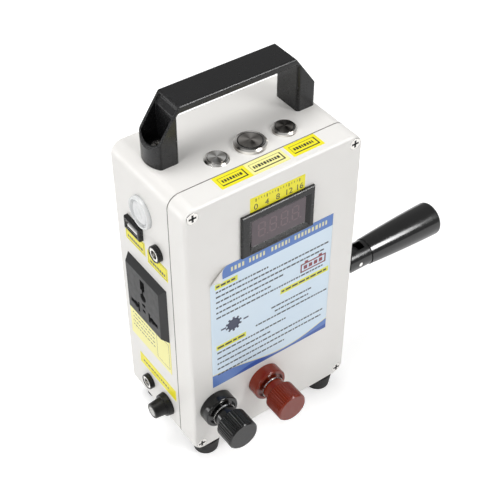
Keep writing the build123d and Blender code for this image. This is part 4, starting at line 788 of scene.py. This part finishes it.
def side_label_print():
    """Frames and plain rows on the labels on the left side."""
    bm = bmesh.new()
    # The middle in Y and the top of the label under the USB port, and of the one next to it.
    half_frame = 9.6
    for y, top in ((16.65, 158.35), (-7.1, 156.3)):
        print_frame(on_left, bm, y - half_frame, y + half_frame, top - 9.2, top - 0.8, line=0.2)
        print_words(
            on_left, bm, y - 8.0, y + 8.0, top - 6.6, 1.8, label_chance,
            word=(0.8, 1.8), gap=0.6,
        )
    first_row, row_pitch = 4.5, 3.6
    for row in range(5):
        height = outlet_label_high - first_row - row * row_pitch
        print_words(
            on_left, bm, outlet_label_y - 5, outlet_label_y + 20, height, 0.7, label_chance,
            word=(1.0, 3.0), gap=0.8,
        )
    print_frame(
        on_left, bm, outlet_label_y - 21.5, outlet_label_y - 7.5,
        outlet_label_high - 25, outlet_label_high - 3, line=0.25,
    )
    lowest_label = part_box("marking_labels")[0].z / MM
    print_words(
        on_left, bm, -10.0, 20.0, lowest_label + 4.6, 1.3, label_chance,
        word=(1.0, 3.0), gap=0.8,
    )
    make_piece("side_label_print", bm, ink_grey, "case")


def button_gap_shadows():
    """Painted shadow: a dark ring laid over the gap between each pressed cap and its ring."""
    gap_width = {"lamp": 0.35, "main": 0.75, "usb": 0.45}
    ring_tops = {
        "lamp": (TOP + 1.0) * MM,
        "main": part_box("main_button_housing")[1].z,
        "usb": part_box("small_button_housings")[1].z,
    }
    over_ring, under_cap = 0.015, 0.05
    bm = bmesh.new()
    for name, (x, y) in cap_places.items():
        low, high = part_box(name + "_button_cap")
        cap_radius = (high.x - low.x) / 2
        height = min(high.z, ring_tops[name]) + over_ring * MM
        spot = Matrix.Translation((x * MM, y * MM, height))
        loops = []
        for radius in (cap_radius + gap_width[name] * MM, cap_radius - under_cap * MM):
            loops += bmesh.ops.create_circle(bm, segments=64, radius=radius, matrix=spot)["verts"]
        edges = list({edge for vert in loops for edge in vert.link_edges})
        bmesh.ops.bridge_loops(bm, edges=edges)
    make_piece("button_gap_shadows", bm, gap_shadow, "case")


def screw_cross_shadows():
    """Painted shade: dark crosses laid over the mouths of the crosses in the cover screws."""
    head_radius, reach, half_width = 3.6, 2.4, 0.65
    low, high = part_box("cover_screws")
    face = low.y / MM
    bm = bmesh.new()
    for x in (low.x / MM + head_radius, high.x / MM - head_radius):
        for z in (low.z / MM + head_radius, high.z / MM - head_radius):
            for across, up in ((reach, half_width), (half_width, reach)):
                on_front(bm, x - across, x + across, z - up, z + up, INK / 2, face)
    make_piece("screw_cross_shadows", bm, gap_shadow, "case")


def lamp_front():
    """The lamp's lens: a flat rim, a groove inside it, and a low dome in the middle."""
    low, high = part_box("lamp_lens")
    middle = (low + high) / 2
    outer = (high.y - low.y) / 2
    wall = LEFT * MM
    neck = outer - 1.6 * MM
    # From the rim to the middle: how far in from the rim, and how far behind the front.
    ridges = [
        (0.2, 0.9), (0.5, 0.35), (1.0, 0.2), (1.7, 0.3), (2.1, 1.3), (2.6, 1.5), (3.3, 1.0),
        (4.6, 0.5), (6.6, 0.2), (7.6, 0.9),
    ]
    profile = [(high.x, 0), (high.x, neck), (wall, neck), (wall, outer)]
    profile += [(low.x + behind * MM, outer - inward * MM) for inward, behind in ridges]
    profile.append((low.x + 1.1 * MM, 0))
    bm = bmesh.new()
    ring = [bm.verts.new((x, middle.y + radius, middle.z)) for x, radius in profile]
    for one, other in zip(ring, ring[1:]):
        bm.edges.new((one, other))
    bmesh.ops.spin(
        bm, geom=bm.verts[:] + bm.edges[:], cent=middle, axis=(1, 0, 0), angle=2 * pi,
        steps=72, use_merge=True,
    )
    bmesh.ops.remove_doubles(bm, verts=bm.verts, dist=0.005 * MM)
    lens = make_piece("lamp_front", bm, frosted, "case")
    for face in lens.data.polygons:
        face.use_smooth = True
    lens.data.set_sharp_from_angle(angle=radians(50))
    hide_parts("lamp_lens")


def meter_scale():
    """A plain row of numbers over the meter, on the yellow label."""
    numbers = ("0", "4", "8", "12", "16")
    number_pitch, number_size, tick_pitch = 7.4, 5.6, 1.85
    half_long_tick, half_tick = 0.25, 0.12
    bezel_low, bezel_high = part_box("meter_bezel")
    middle = (bezel_low.x + bezel_high.x) / 2 / MM
    low = bezel_high.z / MM + 0.2
    tick_top = low + 8.6
    face = FRONT - FILM
    upright = Matrix.Rotation(pi / 2, 4, "X")
    bm = bmesh.new()
    for step, number in enumerate(numbers):
        x = middle + (step - 2) * number_pitch
        curve = bpy.data.curves.new("number", "FONT")
        curve.body = number
        curve.size = number_size * MM
        curve.align_x = "CENTER"
        curve.extrude = INK * MM / 2
        holder = bpy.data.objects.new("number", curve)
        bpy.context.scene.collection.objects.link(holder)
        bpy.context.view_layer.update()
        mesh = bpy.data.meshes.new_from_object(holder)
        bpy.data.objects.remove(holder)
        spot = Vector((x, face - INK / 2, low + 1.0)) * MM
        mesh.transform(Matrix.Translation(spot) @ upright)
        bm.from_mesh(mesh)
        bpy.data.meshes.remove(mesh)
        on_front(bm, x - half_long_tick, x + half_long_tick, low + 6.4, tick_top, face=face)
    for step in range(17):
        x = middle + (step - 8) * tick_pitch
        on_front(bm, x - half_tick, x + half_tick, low + 7.2, tick_top, face=face)
    bmesh.ops.remove_doubles(bm, verts=bm.verts, dist=0.001 * MM)
    make_piece("meter_scale", bm, ink_black, "case")


def meter_digits():
    """Unlit seven-segment digits, just seen in the dark window of the meter."""
    digits, digit_pitch, digit_width, digit_height, line = 4, 7.8, 5.2, 9.6, 0.9
    point_gap, end_gap = 0.7, 0.5
    low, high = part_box("meter_window")
    face = low.y / MM
    middle = (low.x + high.x) / 2 / MM + 1.2
    base = (low.z + high.z) / 2 / MM - digit_height / 2 + 0.8
    bm = bmesh.new()

    def segment(x0, x1, z0, z1):
        on_front(bm, x0, x1, z0, z1, INK / 2, face)

    for place in range(digits):
        x0 = middle + (place - digits / 2) * digit_pitch
        x1 = x0 + digit_width
        for z in (base, base + digit_height / 2, base + digit_height):
            segment(x0 + line, x1 - line, z - line / 2, z + line / 2)
        for z in (base, base + digit_height / 2):
            for x in (x0, x1 - line):
                segment(x, x + line, z + end_gap, z + digit_height / 2 - end_gap)
        point = x1 + point_gap
        segment(point, point + line, base - line / 2, base + line / 2)
    make_piece("meter_digits", bm, unlit_segments, "case")


# ---------------------------------------------------------------- camera, lights, floor
def photo_camera():
    """A long lens from above, front left, aimed a little beside the middle of the case."""
    azimuth, elevation, roll = radians(-35.937), radians(42.983), radians(0.256)
    distance, aside, above = 674.846 * MM, 7.586 * MM, 10.843 * MM
    sensor, focal_share = 36, 1095.6 / 500
    back = Vector((sin(azimuth) * cos(elevation), -cos(azimuth) * cos(elevation), sin(elevation)))
    right = Vector((cos(azimuth), sin(azimuth), 0))
    up = back.cross(right)
    middle = Vector((0, 0, (case_low.z + case_high.z) / 2))
    place = middle + back * distance + right * aside + up * above
    turned = Matrix((right * cos(roll) + up * sin(roll), up * cos(roll) - right * sin(roll), back))
    data = bpy.data.cameras.new("photo_camera")
    data.sensor_width = sensor
    data.lens = sensor * focal_share
    data.clip_start = 0.01
    camera = bpy.data.objects.new("photo_camera", data)
    camera.matrix_world = Matrix.Translation(place) @ turned.transposed().to_4x4()
    bpy.context.scene.collection.objects.link(camera)
    bpy.context.scene.camera = camera


def soft_lamp(name, place, target, size, power, only_mirrored=False):
    """A soft box of some width and height at a place, aimed at a target, all in metres.

    One that is only mirrored gives gloss its highlights and lights nothing else.
    """
    data = bpy.data.lights.new(name, "AREA")
    data.shape = "RECTANGLE"
    data.size, data.size_y = size
    data.energy = power
    lamp = bpy.data.objects.new(name, data)
    aim = (Vector(target) - Vector(place)).to_track_quat("-Z", "Y")
    lamp.matrix_world = Matrix.Translation(place) @ aim.to_matrix().to_4x4()
    lamp.visible_diffuse = not only_mirrored
    bpy.context.scene.collection.objects.link(lamp)


def seen_directly(tree):
    """One for rays from the camera, from a mirror and through glass."""
    rays = add(tree, "LightPath").outputs
    either = {0: rays["Is Camera Ray"], 1: rays["Is Glossy Ray"]}
    seen = add(tree, "Math", either, operation="MAXIMUM").outputs[0]
    any_of_them = {0: seen, 1: rays["Is Transmission Ray"]}
    return add(tree, "Math", any_of_them, operation="MAXIMUM").outputs[0]


def white_room():
    """Plain soft light from all round, soft boxes, and a white floor."""
    world = bpy.data.worlds.new("white_room")
    bpy.context.scene.world = world
    world.use_nodes = True
    tree = world.node_tree
    background = tree.nodes["Background"]
    background.inputs["Color"].default_value = (1, 1, 1, 1)
    background.inputs["Strength"].default_value = 0.4

    middle = (0, 0, 0.12)
    soft_lamp("overhead_box", (-0.1, 0.25, 1.3), middle, (0.6, 0.6), 6.8)
    soft_lamp("left_box", (-1.2, -0.3, 0.8), middle, (0.5, 0.5), 6.4)
    soft_lamp("front_box", (0.65, -1.0, 1.1), middle, (0.42, 0.42), 6.7)
    soft_lamp("streak_box", (0.61, -1.0, 1.02), middle, (0.28, 0.7), 14, True)
    soft_lamp("back_left_box", (-1.0, 0.75, 0.17), middle, (0.4, 0.3), 3, True)

    bm = bmesh.new()
    bmesh.ops.create_grid(bm, x_segments=1, y_segments=1, size=4)
    mesh = bpy.data.meshes.new("floor")
    bm.to_mesh(mesh)
    bm.free()
    floor = bpy.data.objects.new("floor", mesh)
    bpy.context.scene.collection.objects.link(floor)
    material, tree, shader, place = start("white_paper_floor")
    link(tree, mottled(tree, place, 200, "#F6F6F6", "#F3F3F3"), shader, "Base Color")
    shader.inputs["Roughness"].default_value = 0.9
    shader.inputs["Specular IOR Level"].default_value = 0.1
    shader.inputs["Emission Color"].default_value = (1, 1, 1, 1)
    glow = add(tree, "MapRange", {"Value": seen_directly(tree), 3: 0.0, 4: 0.4}).outputs[0]
    link(tree, glow, shader, "Emission Strength")
    mesh.materials.append(material)


case_seam()
sticker_sheet()
sticker_print()
sticker_waves()
battery_sign()
gear_sign()
top_label_print()
pale_label_faces()
side_label_print()
button_gap_shadows()
screw_cross_shadows()
lamp_front()
meter_scale()
meter_digits()
photo_camera()
white_room()
bpy.context.scene.view_settings.view_transform = "Standard"
